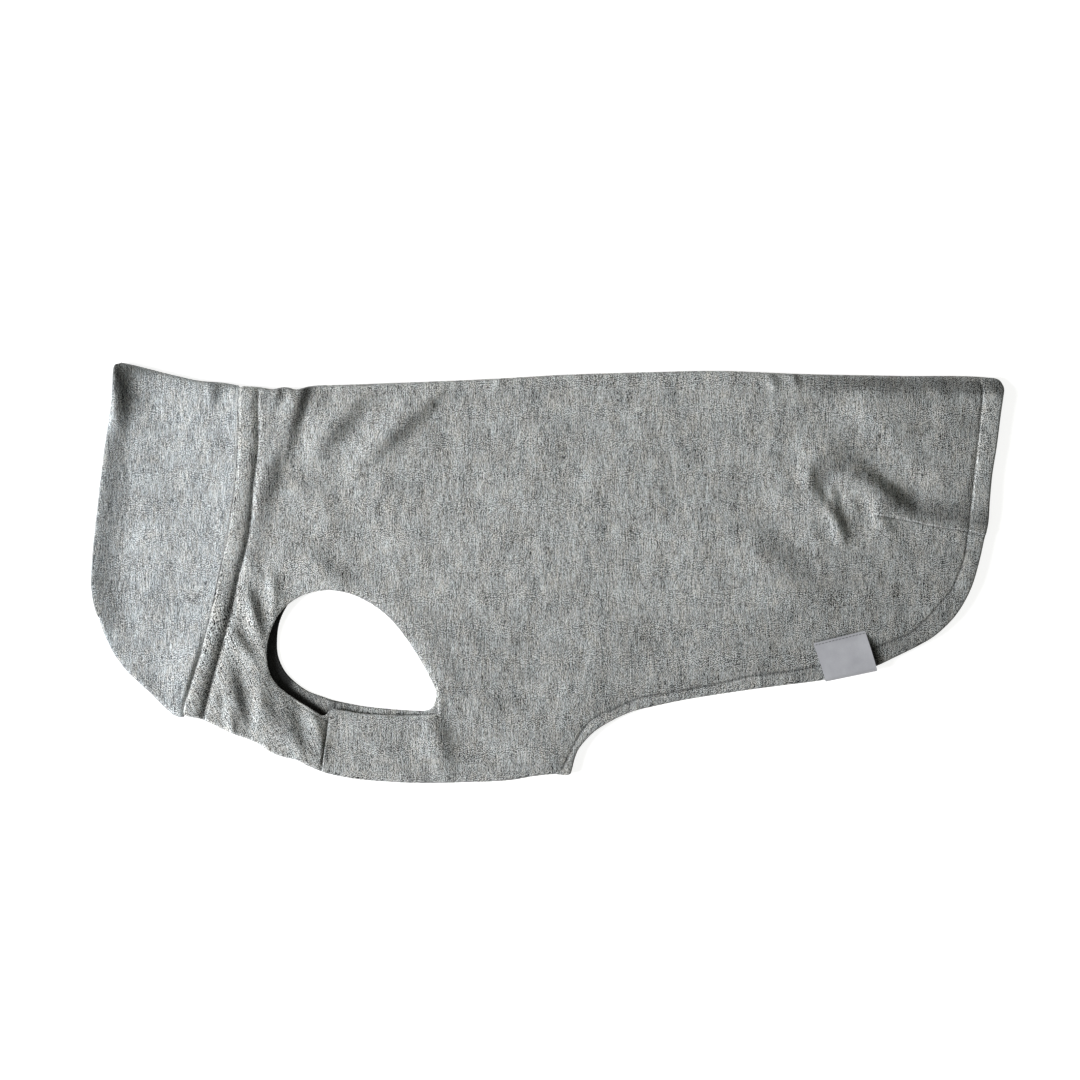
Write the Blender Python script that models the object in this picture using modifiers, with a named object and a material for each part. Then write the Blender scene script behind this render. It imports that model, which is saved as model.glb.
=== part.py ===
"""Dog t-shirt in grey melange jersey, laid flat on its side.

Three sewn pieces: the body, cut in one with its armholes and its belly strap; the doubled collar; and a small
folded label over the hem. Every piece is a wall of cloth. The body and the collar are flattened tubes, so an
upper layer lies on a level lower one, joined by a soft round fold along the back and another at the belly.

X runs from the neck to the tail, Y from the belly to the back, and Z up. The origin is under the middle of
the shirt, on the surface that it lies on. The tables are in millimetres and degrees, and the rest in metres.
"""

import math
from collections import namedtuple

import bmesh
import bpy
from mathutils import Matrix, Vector

MM = 0.001

# ---------------------------------------------------------------------------------------------- sizes

JERSEY_WALL = 1.2 * MM
COLLAR_WALL = 2.4 * MM           # two plies of the jersey
LABEL_WALL = 1.0 * MM
SEAM_GAP = 0.3 * MM              # clearance where two pieces, or two edges of one piece, meet
BODY_LAYER_GAP = 1.8 * MM        # air between the body's upper and lower layer
COLLAR_LAYER_GAP = 1.2 * MM
LOWER_HEM_SETBACK = 1.5 * MM     # the lower layer's hem lies a little inside the upper one

UPPER_STEPS = 20                 # quads from back to belly in the upper layer
LOWER_STEPS = 6                  # and in the lower one, which is level
FOLD_STEPS = 4                   # quads round each fold
RINGS_PER_ROW = 2                # rings from one row of a section table to the next

ARMHOLE_STEPS = 2                # cutter edges between two points of the armhole's outline
CUT_LEVEL = JERSEY_WALL + BODY_LAYER_GAP / 2.0
CUT_BOTTOM = -5.0 * MM
CUT_TOP = 30.0 * MM

LABEL_WIDTH = 31.0 * MM
LABEL_LENGTH = 23.8 * MM
LABEL_TURN = 13.0
LABEL_CLEARANCE = 0.45 * MM      # over and under the layer that it wraps
LABEL_STEPS = 4                  # quads along and across each leaf

# ---------------------------------------------------------------------------------------------- tables

# Points in plan, seen from above.
Spot = namedtuple("Spot", "x y")

LABEL_CENTRE = Spot(178.9, -51.6)
ARMHOLE_MIDDLE = Spot(-120.0, -50.0)
CHEST_SEAM_START = Spot(-129.1, -70.0)
CHEST_SEAM_END = Spot(-138.1, -129.0)

# One row for each section across the flat shirt, from a point on the back to one at the belly or on the hem.
# bow is how far the section swells towards the tail, and peak is where it does, from 0 at the back to 1.
Section = namedtuple("Section", "back_x back_y belly_x belly_y bow peak")

NECK_TO_BELLY_END = (
    Section(-184.2, 111.9, -217.3, -86.7, 7.8, 0.5),
    Section(-173.1, 111.0, -207.2, -88.9, 7.8, 0.5),
    Section(-158.1, 111.3, -186.9, -98.1, 6.5, 0.5),
    Section(-143.7, 111.9, -165.3, -108.9, 5.0, 0.5),
    Section(-125.7, 112.5, -143.7, -117.0, 3.0, 0.5),
    Section(-105.3, 113.1, -118.5, -123.6, 1.5, 0.5),
    Section(-82.5, 114.0, -90.9, -126.3, 0.8, 0.5),
    Section(-57.3, 114.9, -60.9, -126.6, 0.0, 0.5),
    Section(-32.1, 116.1, -32.1, -125.7, 0.0, 0.5),
    Section(-10.5, 117.3, -6.9, -122.4, 0.0, 0.5),
    Section(7.5, 118.5, 13.2, -122.3, 0.0, 0.5),
)

BELLY_END_TO_TAIL = (
    Section(14.7, 118.6, 16.2, -113.7, 0.0, 0.5),
    Section(24.3, 118.9, 21.6, -102.0, 0.0, 0.5),
    Section(38.7, 119.3, 33.3, -92.1, 0.0, 0.5),
    Section(55.5, 119.7, 51.9, -83.4, 0.0, 0.5),
    Section(85.5, 120.3, 83.1, -76.5, 0.0, 0.5),
    Section(115.5, 120.3, 114.3, -71.4, 0.0, 0.5),
    Section(145.5, 119.4, 144.3, -67.5, 0.0, 0.5),
    Section(172.5, 118.8, 169.5, -64.2, 0.0, 0.5),
    Section(199.5, 118.3, 194.7, -57.3, 0.0, 0.5),
    Section(222.3, 117.9, 216.3, -47.1, 0.0, 0.5),
    Section(241.5, 117.5, 234.3, -36.3, 0.0, 0.5),
    Section(257.1, 117.2, 248.7, -20.1, 0.0, 0.5),
    Section(266.7, 117.0, 256.7, -0.9, 0.3, 0.5),
    Section(273.6, 115.8, 261.6, 13.5, 0.8, 0.5),
)

COLLAR_EDGE_TO_SEAM = (
    Section(-259.8, 126.3, -269.5, -27.9, -5.6, 0.7),
    Section(-248.1, 124.2, -261.3, -47.1, -4.5, 0.68),
    Section(-237.3, 121.5, -251.7, -60.9, -1.5, 0.6),
    Section(-222.9, 117.9, -240.9, -70.8, 1.5, 0.5),
    Section(-208.5, 114.9, -230.1, -81.3, 4.6, 0.5),
    Section(-194.1, 113.7, -223.8, -85.7, 6.5, 0.5),
    Section(-184.2, 111.9, -217.3, -86.7, 7.8, 0.5),
)

# The largest soft folds of the upper layers: a long ridge, or a trough where height is under 0, with its
# middle, its direction from X, and the length and width over which it fades.
Fold = namedtuple("Fold", "x y turn length width height")

BODY_FOLDS = (
    Fold(-172.0, -48.0, 98.0, 46.0, 12.0, 3.6),      # stands up in front of the armhole
    Fold(-118.0, 2.0, 20.0, 40.0, 14.0, 0.9),        # over the armhole
    Fold(-133.0, 84.0, 48.0, 26.0, 9.0, 1.4),        # shoulder ridges
    Fold(-88.0, 98.0, 35.0, 30.0, 9.0, 1.0),
    Fold(-152.0, 86.0, 70.0, 26.0, 8.0, -0.9),       # shoulder trough
    Fold(-40.0, -98.0, 8.0, 60.0, 16.0, 1.0),        # belly
    Fold(60.0, 20.0, 75.0, 90.0, 34.0, 1.0),         # side
    Fold(192.0, 74.0, -60.0, 24.0, 11.0, 1.6),       # ridge beside the hollow
    Fold(202.0, 50.0, -40.0, 18.0, 10.0, -1.0),      # hollow at the dart's point
    Fold(236.0, 28.0, -8.0, 34.0, 10.0, 0.7),        # the dart
)

COLLAR_FOLDS = (
    Fold(-236.0, 20.0, 97.0, 90.0, 18.0, 1.2),
    Fold(-256.0, 96.0, 105.0, 22.0, 8.0, -0.7),
)

# Where each layer's armhole lies: the shirt is not laid quite true, so the lower one has moved and turned.
ArmholePlace = namedtuple("ArmholePlace", "x y turn")

UPPER_ARMHOLE = ArmholePlace(0.0, 0.0, 0.0)
LOWER_ARMHOLE = ArmholePlace(5.5, 5.3, -3.0)

# The armhole's edge, from its sharp back corner up and round to the same corner.
ARMHOLE = (
    Spot(-66.3, -85.6),
    Spot(-67.5, -72.9),
    Spot(-78.9, -49.5),
    Spot(-93.3, -29.7),
    Spot(-107.7, -18.3),
    Spot(-121.0, -12.3),
    Spot(-134.5, -11.0),
    Spot(-148.5, -14.7),
    Spot(-159.2, -21.2),
    Spot(-165.9, -32.8),
    Spot(-168.6, -47.7),
    Spot(-165.9, -62.5),
    Spot(-154.6, -74.1),
    Spot(-141.9, -82.4),
    Spot(-121.5, -84.4),
    Spot(-94.0, -86.4),
    Spot(-66.3, -85.6),
)

# ---------------------------------------------------------------------------------------------- curves


def curve_value(before, start, end, after, t):
    """One number of the smooth curve that leaves start for end, t of the way along."""
    straight = end - before
    bend = 2.0 * before - 5.0 * start + 4.0 * end - after
    twist = 3.0 * start - before - 3.0 * end + after
    return start + 0.5 * t * (straight + t * (bend + t * twist))


def smoothed(rows, steps):
    """The rows of a table, with steps - 1 more between each two on a smooth curve through them all."""
    kind = type(rows[0])
    last = len(rows) - 1
    out = []
    for index in range(last):
        corners = (rows[max(index - 1, 0)], rows[index], rows[index + 1], rows[min(index + 2, last)])
        for step in range(steps):
            out.append(kind(*(curve_value(*numbers, step / steps) for numbers in zip(*corners))))
    out.append(rows[last])
    return out


def fold_height(folds, x, y):
    """How far the ridges and troughs lift the cloth at a point in plan."""
    height = 0.0
    for fold in folds:
        turn = math.radians(fold.turn)
        away = Vector((x - fold.x * MM, y - fold.y * MM))
        along = away.dot(Vector((math.cos(turn), math.sin(turn)))) / (fold.length * MM)
        aside = away.dot(Vector((-math.sin(turn), math.cos(turn)))) / (fold.width * MM)
        height += fold.height * MM * math.exp(-along ** 2 - aside ** 2)
    return height


# ---------------------------------------------------------------------------------------------- cloth


class FlatTube:
    """A tube of cloth laid flat: a level lower layer, an upper layer over it, and a fold along each side.

    All its points are in the middle of the wall. Solidify gives the wall its thickness.
    """

    def __init__(self, wall, layer_gap, folds):
        self.wall = wall
        self.folds = folds
        self.lower_level = wall / 2.0
        self.upper_level = wall * 1.5 + layer_gap
        self.fold_radius = (self.upper_level - self.lower_level) / 2.0
        self.fold_reach = self.fold_radius + wall / 2.0

    def upper_height(self, x, y):
        """The middle of the upper layer's wall above a point in plan."""
        return self.upper_level + fold_height(self.folds, x, y)

    def fold_points(self, start, end, outward):
        """The points between two edges of the layers, on a half round that bulges outward."""
        middle = (start + end) / 2.0
        half = (start - end) / 2.0
        bulge = outward.to_3d() * self.fold_radius
        angles = [math.pi * step / FOLD_STEPS for step in range(1, FOLD_STEPS)]
        return [middle + half * math.cos(angle) + bulge * math.sin(angle) for angle in angles]

    def ring(self, section, closed):
        """Four runs of points round the tube: upper layer, belly fold, lower layer and back fold.

        Each run ends on the first point of the next. An open ring is cut at the hem, with no belly fold.
        """
        back = Vector((section.back_x, section.back_y)) * MM
        belly = Vector((section.belly_x, section.belly_y)) * MM
        length = (belly - back).length
        down = (belly - back) / length
        tailward = Vector((-down.y, down.x))
        skew = math.log(0.5) / math.log(section.peak)
        upper_end = length - (self.fold_reach if closed else 0.0)
        lower_end = length - (self.fold_reach if closed else LOWER_HEM_SETBACK)

        def plan(end, share):
            distance = self.fold_reach + (end - self.fold_reach) * share
            swell = section.bow * MM * math.sin(math.pi * (distance / length) ** skew)
            return back + down * distance + tailward * swell

        upper = []
        for step in range(UPPER_STEPS + 1):
            x, y = plan(upper_end, step / UPPER_STEPS)
            upper.append(Vector((x, y, self.upper_height(x, y))))
        lower = []
        for step in reversed(range(LOWER_STEPS + 1)):
            x, y = plan(lower_end, step / LOWER_STEPS)
            lower.append(Vector((x, y, self.lower_level)))
        belly_fold = self.fold_points(upper[-1], lower[0], down) if closed else []
        back_fold = self.fold_points(lower[-1], upper[0], -down)
        return upper, belly_fold, lower, back_fold


def add_strip(mesh, near, far):
    """Quads between two runs of vertices; near is the one that lies nearer to the neck."""
    for index in range(len(near) - 1):
        mesh.faces.new((near[index], near[index + 1], far[index + 1], far[index]))


def tube_mesh(tube, closed_sections, open_sections):
    """The middle surface of a tube: closed round its first sections, then cut open along the hem."""
    mesh = bmesh.new()
    rings = []
    for section, closed in [(row, True) for row in closed_sections] + [(row, False) for row in open_sections]:
        runs = [[mesh.verts.new(point) for point in run] for run in tube.ring(section, closed)]
        upper, belly_fold, lower, back_fold = runs
        belly_run = [upper[-1], *belly_fold, lower[0]] if closed else None
        back_run = [lower[-1], *back_fold, upper[0]]
        rings.append((upper, belly_run, lower, back_run))
    for near, far in zip(rings, rings[1:]):
        for near_run, far_run in zip(near, far):
            if near_run and far_run:
                add_strip(mesh, near_run, far_run)
    return mesh


def label_mesh(tube):
    """The label's middle surface: a front leaf on the upper layer, a bend round the hem, and a back leaf."""
    offset = tube.wall / 2.0 + LABEL_CLEARANCE + LABEL_WALL / 2.0
    turn = math.radians(LABEL_TURN)
    across = Vector((math.cos(turn), math.sin(turn)))
    outward = Vector((math.sin(turn), -math.cos(turn)))
    centre = Vector(LABEL_CENTRE) * MM
    top_edge = -LABEL_LENGTH / 2.0
    bend_at = LABEL_LENGTH / 2.0 - offset - LABEL_WALL / 2.0

    path = []                                        # (distance outward, height from the layer's middle)
    for step in range(LABEL_STEPS):
        path.append((top_edge + (bend_at - top_edge) * step / LABEL_STEPS, offset))
    for step in range(FOLD_STEPS + 1):
        angle = math.pi * step / FOLD_STEPS
        path.append((bend_at + offset * math.sin(angle), offset * math.cos(angle)))
    for step in range(1, LABEL_STEPS + 1):
        path.append((bend_at + (top_edge - bend_at) * step / LABEL_STEPS, -offset))

    mesh = bmesh.new()
    rows = []
    for step in range(LABEL_STEPS + 1):
        aside = LABEL_WIDTH * (step / LABEL_STEPS - 0.5)
        row = []
        for distance, rise in path:
            x, y = centre + across * aside + outward * distance
            row.append(mesh.verts.new((x, y, tube.upper_height(x, y) + rise)))
        rows.append(row)
    for near, far in zip(rows, rows[1:]):
        add_strip(mesh, near, far)
    return mesh


# ---------------------------------------------------------------------------------------------- objects


def clear_scene():
    for old in list(bpy.data.objects):
        bpy.data.objects.remove(old, do_unlink=True)


def new_collection(name):
    collection = bpy.data.collections.new(name)
    bpy.context.scene.collection.children.link(collection)
    return collection


def cloth_material(name, colour, roughness):
    material = bpy.data.materials.new(name)
    material.use_nodes = True
    shader = material.node_tree.nodes["Principled BSDF"]
    shader.inputs["Base Color"].default_value = (*colour, 1.0)
    shader.inputs["Roughness"].default_value = roughness
    shader.inputs["Metallic"].default_value = 0.0
    return material


def mesh_object(name, mesh, collection):
    data = bpy.data.meshes.new(name)
    mesh.to_mesh(data)
    mesh.free()
    piece = bpy.data.objects.new(name, data)
    collection.objects.link(piece)
    return piece


def cloth_piece(name, mesh, wall, material, collection):
    """A named piece of cloth: its middle surface with a wall of even thickness, half to each side."""
    piece = mesh_object(name, mesh, collection)
    piece.data.materials.append(material)
    piece.data.shade_smooth()
    shell = piece.modifiers.new("wall", "SOLIDIFY")
    shell.thickness = wall
    shell.offset = 0.0
    shell.use_even_offset = True
    shell.use_quality_normals = True
    return piece


def hide_cutter(cutter):
    cutter.hide_render = True
    cutter.display_type = "WIRE"


def armhole_cutter(name, place, bottom, top, collection):
    """A prism with the armhole's outline, from bottom to top, where a layer's own armhole lies."""
    outline = smoothed(ARMHOLE, ARMHOLE_STEPS)[:-1]
    curve = bpy.data.curves.new(name, "CURVE")
    curve.dimensions = "2D"
    curve.fill_mode = "BOTH"
    curve.extrude = (top - bottom) / 2.0
    spline = curve.splines.new("POLY")
    spline.use_cyclic_u = True
    spline.points.add(len(outline) - 1)
    middle = Vector(ARMHOLE_MIDDLE)
    turn = Matrix.Rotation(math.radians(place.turn), 2)
    for point, spot in zip(spline.points, outline):
        x, y = (middle + Vector((place.x, place.y)) + turn @ (Vector(spot) - middle)) * MM
        point.co = (x, y, 0.0, 1.0)
    drawn = bpy.data.objects.new(name + "_outline", curve)
    collection.objects.link(drawn)
    bpy.context.view_layer.update()

    mesh = bmesh.new()
    prism = bpy.data.meshes.new_from_object(drawn.evaluated_get(bpy.context.evaluated_depsgraph_get()))
    mesh.from_mesh(prism)
    bpy.data.objects.remove(drawn, do_unlink=True)
    bpy.data.meshes.remove(prism)
    bmesh.ops.remove_doubles(mesh, verts=mesh.verts, dist=0.01 * MM)
    bmesh.ops.recalc_face_normals(mesh, faces=mesh.faces)
    bmesh.ops.translate(mesh, verts=mesh.verts, vec=(0.0, 0.0, (top + bottom) / 2.0))
    cutter = mesh_object(name, mesh, collection)
    hide_cutter(cutter)
    return cutter


def seam_cutter(name, start, end, collection):
    """A thin upright slab, one seam gap wide, along a straight seam."""
    start, end = Vector(start) * MM, Vector(end) * MM
    middle = (start + end) / 2.0
    height = CUT_TOP - CUT_BOTTOM
    place = Matrix.Translation((middle.x, middle.y, (CUT_TOP + CUT_BOTTOM) / 2.0))
    turn = Matrix.Rotation(math.atan2(end.y - start.y, end.x - start.x), 4, "Z")
    size = Matrix.Diagonal(((end - start).length, SEAM_GAP, height, 1.0))
    mesh = bmesh.new()
    bmesh.ops.create_cube(mesh, size=1.0, matrix=place @ turn @ size)
    cutter = mesh_object(name, mesh, collection)
    hide_cutter(cutter)
    return cutter


def cut(piece, cutter):
    change = piece.modifiers.new(cutter.name, "BOOLEAN")
    change.operation = "DIFFERENCE"
    change.solver = "EXACT"
    change.object = cutter


def seam_step(section, distance):
    """A section moved along the tube, to stay clear of a seam that runs across it."""
    return section._replace(back_x=section.back_x + distance / MM, belly_x=section.belly_x + distance / MM)


# ---------------------------------------------------------------------------------------------- build


def build_body(collection, cutters, jersey):
    tube = FlatTube(JERSEY_WALL, BODY_LAYER_GAP, BODY_FOLDS)
    closed = smoothed(NECK_TO_BELLY_END, RINGS_PER_ROW)
    closed[0] = seam_step(closed[0], SEAM_GAP)
    mesh = tube_mesh(tube, closed, smoothed(BELLY_END_TO_TAIL, RINGS_PER_ROW))
    body = cloth_piece("body", mesh, JERSEY_WALL, jersey, collection)
    cut(body, armhole_cutter("upper_armhole", UPPER_ARMHOLE, CUT_LEVEL, CUT_TOP, cutters))
    cut(body, armhole_cutter("lower_armhole", LOWER_ARMHOLE, CUT_BOTTOM, CUT_LEVEL, cutters))
    cut(body, seam_cutter("chest_seam", CHEST_SEAM_START, CHEST_SEAM_END, cutters))
    return body, tube


def build_collar(collection, jersey):
    tube = FlatTube(COLLAR_WALL, COLLAR_LAYER_GAP, COLLAR_FOLDS)
    rows = smoothed(COLLAR_EDGE_TO_SEAM, RINGS_PER_ROW)
    rows[-1] = seam_step(rows[-1], -SEAM_GAP)
    return cloth_piece("collar", tube_mesh(tube, rows, []), COLLAR_WALL, jersey, collection)


def build_label(body_tube, collection, ribbon):
    return cloth_piece("label", label_mesh(body_tube), LABEL_WALL, ribbon, collection)


def main():
    clear_scene()
    pieces = new_collection("dog_t_shirt")
    cutters = new_collection("cutters")
    body_jersey = cloth_material("grey_melange_jersey", (0.32, 0.32, 0.31), 0.95)
    collar_jersey = cloth_material("doubled_grey_jersey", (0.40, 0.41, 0.41), 0.95)
    ribbon = cloth_material("lilac_grey_ribbon", (0.37, 0.37, 0.42), 0.6)
    body, body_tube = build_body(pieces, cutters, body_jersey)
    collar = build_collar(pieces, collar_jersey)
    label = build_label(body_tube, pieces, ribbon)
    shirt = bpy.data.objects.new("dog_t_shirt", None)
    pieces.objects.link(shirt)
    for piece in (body, collar, label):
        piece.parent = shirt


main()
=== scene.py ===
# %% [markdown]
# # A dog t-shirt in grey melange jersey, laid flat
#
# The shirt is three pieces of cloth: a body cut in one, a high doubled collar, and a small ribbon label
# over the hem. It lies on its side, so each tube of cloth is two layers joined by a soft fold along the
# back and another at the belly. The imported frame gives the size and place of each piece; this script
# makes its looks.
#
# A layer that lies flat can be drawn as a height over each point of its outline, which is easy to read
# and to change: one function gives the height, and every seam, fold and crease adds to it.

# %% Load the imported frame
import math
from collections import namedtuple

import bpy
import numpy as np
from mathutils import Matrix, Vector
from mathutils.geometry import delaunay_2d_cdt


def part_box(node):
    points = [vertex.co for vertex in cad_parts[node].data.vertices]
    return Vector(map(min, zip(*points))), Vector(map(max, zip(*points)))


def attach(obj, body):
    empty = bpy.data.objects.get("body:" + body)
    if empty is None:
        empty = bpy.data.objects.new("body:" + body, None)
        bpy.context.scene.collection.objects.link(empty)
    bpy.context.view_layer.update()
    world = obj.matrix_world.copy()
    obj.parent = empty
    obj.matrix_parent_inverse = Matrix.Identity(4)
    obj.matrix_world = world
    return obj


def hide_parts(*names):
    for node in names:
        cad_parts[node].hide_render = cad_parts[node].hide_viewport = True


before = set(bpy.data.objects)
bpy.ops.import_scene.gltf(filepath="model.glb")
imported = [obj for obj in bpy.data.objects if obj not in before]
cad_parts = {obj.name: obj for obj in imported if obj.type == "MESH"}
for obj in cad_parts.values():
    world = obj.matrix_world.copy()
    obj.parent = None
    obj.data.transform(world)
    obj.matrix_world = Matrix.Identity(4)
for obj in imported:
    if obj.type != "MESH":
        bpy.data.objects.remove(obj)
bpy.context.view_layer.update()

MM = 0.001
ROOT = "root"
body_box = np.array(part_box("body")) / MM
collar_box = np.array(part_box("collar")) / MM

# %% [markdown]
# ## Sizes of the cloth
#
# All shapes are worked out in millimetres in the frame's own axes: X to the tail, Y to the back, Z up.
# The lower layer lies on the surface, and the upper one is about as high over it as in the frame.

# %% Name the sizes
JERSEY = 1.2                # thickness of one ply
DOUBLED = 2.2               # the collar is two plies, pressed together
BODY_TOP = 4.2              # top of the body's upper layer
BODY_FOLD = 2.1             # radius of the soft fold at the back and the belly
COLLAR_TOP = 4.8            # top of the collar where it is hollow
COLLAR_LOWEST = 4.5         # nothing presses the collar flatter than this
COLLAR_RIM = 2.9            # how much higher the free edge stands
COLLAR_RISE = 1.95          # how much higher the seam end stands
COLLAR_FOLD = 2.6           # radius of its folds at the nape and the throat
NAPE_ROLL = 8.0             # the collar rolls over more widely along the nape
STITCH_PITCH = 2.15         # one topstitch to the next
NECK_RISE = 2.15            # how much higher the body stands at the collar seam
NECK_LIP = 0.12             # the band's own edge dips this far into the seam
SEAM_LEVEL = 6.50           # body and collar meet at this height

# %% [markdown]
# ## Curves in plan
#
# A pattern cutter draws with a few points and a flexible curve. Each edge of the shirt is kept the same
# way: a short list of spots and a smooth curve through them, read off again at an even spacing.


# %% Draw a smooth curve through spots
def spots(*values):
    """A list of plan points from x, y, x, y, ..."""
    return np.array(values, dtype=float).reshape(-1, 2)


def smooth_path(points, spacing):
    """Points about spacing apart on the curve that passes smoothly through all the given ones."""
    points = np.asarray(points, dtype=float)
    steps = np.linalg.norm(np.diff(points, axis=0), axis=1)
    slopes = np.diff(points, axis=0) / steps[:, None]
    middle = slopes[:-1] * steps[1:, None] + slopes[1:] * steps[:-1, None]
    tangents = np.vstack([slopes[:1], middle / (steps[:-1] + steps[1:])[:, None], slopes[-1:]])
    dense = []
    for index, step in enumerate(steps):
        t = np.linspace(0.0, 1.0, 24, endpoint=False)[:, None]
        start, end = points[index], points[index + 1]
        dense.append((2 * t**3 - 3 * t**2 + 1) * start + (t**3 - 2 * t**2 + t) * step * tangents[index]
                     + (3 * t**2 - 2 * t**3) * end + (t**3 - t**2) * step * tangents[index + 1])
    dense = np.vstack(dense + [points[-1:]])
    return resample(dense, spacing)


def resample(path, spacing):
    """The same path with its points evenly spaced."""
    along = np.concatenate([[0.0], np.cumsum(np.linalg.norm(np.diff(path, axis=0), axis=1))])
    count = max(int(round(along[-1] / spacing)), 1)
    wanted = np.linspace(0.0, along[-1], count + 1)
    return np.column_stack([np.interp(wanted, along, path[:, axis]) for axis in range(path.shape[1])])


def side_step(path, distance, closed=False):
    """The path moved to its left by a distance."""
    if closed:
        ahead = np.roll(path, -1, axis=0) - np.roll(path, 1, axis=0)
    else:
        ahead = np.gradient(path, axis=0)
    ahead = ahead / np.linalg.norm(ahead, axis=1)[:, None]
    return path + distance * np.column_stack([-ahead[:, 1], ahead[:, 0]])


Near = namedtuple("Near", "distance along side")


def nearest(points, path, chunk=1500):
    """For each point: how far the path is, how far along it, and the side it is on (left is over 0)."""
    start = path[:-1]
    step = np.diff(path, axis=0)
    length = np.linalg.norm(step, axis=1)
    before = np.concatenate([[0.0], np.cumsum(length)[:-1]])
    distance = np.empty(len(points))
    along = np.empty(len(points))
    side = np.empty(len(points))
    for first in range(0, len(points), chunk):
        block = points[first:first + chunk]
        away = block[:, None, :] - start[None, :, :]
        share = np.clip((away * step).sum(2) / (length**2), 0.0, 1.0)
        rest = away - share[:, :, None] * step
        squared = (rest**2).sum(2)
        best = squared.argmin(1)
        rows = np.arange(len(block))
        last = slice(first, first + len(block))
        distance[last] = np.sqrt(squared[rows, best])
        along[last] = before[best] + share[rows, best] * length[best]
        cross = step[best, 0] * away[rows, best, 1] - step[best, 1] * away[rows, best, 0]
        side[last] = np.where(cross >= 0.0, 1.0, -1.0)
    return Near(distance, along, side)


def inside(points, loop):
    """Which points lie inside a closed loop."""
    x, y = points[:, 0][:, None], points[:, 1][:, None]
    found = np.zeros(len(points), dtype=bool)
    ends = np.roll(loop, -1, axis=0)
    for first in range(0, len(loop), 200):
        x1, y1 = loop[first:first + 200].T
        x2, y2 = ends[first:first + 200].T
        crosses = (y1 > y) != (y2 > y)
        rise = np.where(y2 == y1, 1.0, y2 - y1)
        hits = crosses & (x < x1 + (y - y1) * (x2 - x1) / rise)
        found ^= (hits.sum(1) % 2).astype(bool)
    return found


# %% [markdown]
# ## The outline
#
# Every edge runs from one named corner to the next: the tail's corner on the back, the end of the belly
# strap, the two ends of the neck seam, and the two ends of the collar's free edge.

# %% Draw the edges of the shirt
back_edge = spots(-184.5, 111.9, -173.6, 111.3, -165.3, 110.1, -158.1, 111.3, -150.9, 109.9,
                  -143.7, 111.6, -124.5, 112.5, -76.5, 114.3, -28.5, 116.4, 7.5, 118.5, 55.5, 120.0,
                  103.5, 120.9, 151.5, 119.1, 211.5, 117.9, 264.3, 116.9, 269.1, 116.4, 272.1, 115.0)
tail_hem = spots(272.1, 115.0, 273.8, 110.7, 273.3, 105.9, 272.1, 97.5, 269.4, 75.9, 266.7, 58.5,
                 265.2, 42.9, 263.7, 26.1, 262.2, 20.7, 259.5, 8.7, 252.3, -13.5, 245.1, -25.5,
                 237.9, -33.3, 230.7, -39.3, 223.5, -43.5, 209.1, -50.7, 194.7, -57.3, 180.3, -61.2,
                 165.3, -64.7, 144.3, -67.5, 121.5, -70.5, 101.1, -73.5, 79.5, -77.1, 65.1, -80.1,
                 50.7, -83.7, 36.3, -90.3, 27.9, -95.7, 21.9, -101.7, 18.3, -106.5, 15.9, -112.5,
                 14.4, -118.5, 13.2, -121.5, 11.7, -122.4)
belly_edge = spots(11.7, -122.4, 9.6, -122.1, 7.0, -121.7, -6.9, -122.4, -21.3, -124.8, -50.1, -126.3,
                   -71.7, -126.8, -100.5, -125.7, -122.1, -123.3, -136.5, -119.7, -143.7, -116.7,
                   -150.9, -113.1, -158.1, -111.3, -165.3, -108.9, -172.5, -104.1, -179.7, -100.5,
                   -186.9, -98.1, -194.1, -95.1, -201.3, -91.5, -207.3, -88.7, -217.5, -86.7)
neck_seam = spots(-217.5, -86.7, -218.0, -85.7, -215.0, -70.5, -209.3, -51.9, -202.6, -26.1,
                  -196.4, 1.5, -192.9, 17.1, -190.0, 35.7, -187.8, 50.7, -186.2, 69.9, -185.6, 93.3,
                  -185.7, 104.7, -184.5, 111.9)
throat_edge = spots(-217.5, -86.7, -219.9, -87.3, -222.9, -86.7, -230.1, -81.3, -237.3, -74.1,
                    -244.5, -67.5, -251.7, -60.9, -258.9, -51.9, -266.1, -38.1, -269.7, -27.9)
free_edge = spots(-269.7, -27.9, -273.1, -15.0, -273.8, -2.0, -273.3, 7.5, -270.3, 36.9, -266.1, 72.3,
                  -262.5, 97.5, -260.7, 113.0, -260.1, 121.0, -259.0, 125.0, -257.7, 126.3)
nape_edge = spots(-257.7, 126.3, -251.7, 125.1, -237.3, 121.5, -222.9, 117.9, -208.5, 114.9,
                  -194.1, 113.7, -184.5, 111.9)
armhole_edge = spots(-65.9, -84.4, -67.0, -72.9, -71.7, -62.1, -78.9, -49.5, -86.1, -38.7, -93.3, -29.7,
                     -100.5, -23.1, -107.7, -18.3, -114.9, -14.7, -122.1, -12.3, -129.3, -11.1,
                     -138.0, -11.6, -148.5, -14.7, -157.5, -21.0, -162.3, -27.0, -166.2, -35.0,
                     -168.3, -44.0, -168.6, -50.0, -167.9, -56.5, -166.6, -61.0, -163.0, -66.8,
                     -156.5, -72.5, -149.4, -77.4, -143.2, -81.1, -138.4, -84.1, -135.4, -85.9,
                     -133.4, -85.7, -131.4, -83.4, -128.8, -82.3, -122.7, -82.9, -115.5, -84.2,
                     -108.3, -85.0, -91.5, -85.6, -84.3, -85.8, -71.1, -85.3, -65.9, -84.4)
neck_topstitch = spots(-207.2, -88.5, -201.1, -65.1, -194.4, -40.5, -189.5, -21.9, -185.7, -3.3,
                       -181.5, 11.7, -178.1, 32.1, -176.3, 51.9, -173.8, 74.7, -173.7, 93.3,
                       -173.2, 110.9)
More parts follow.
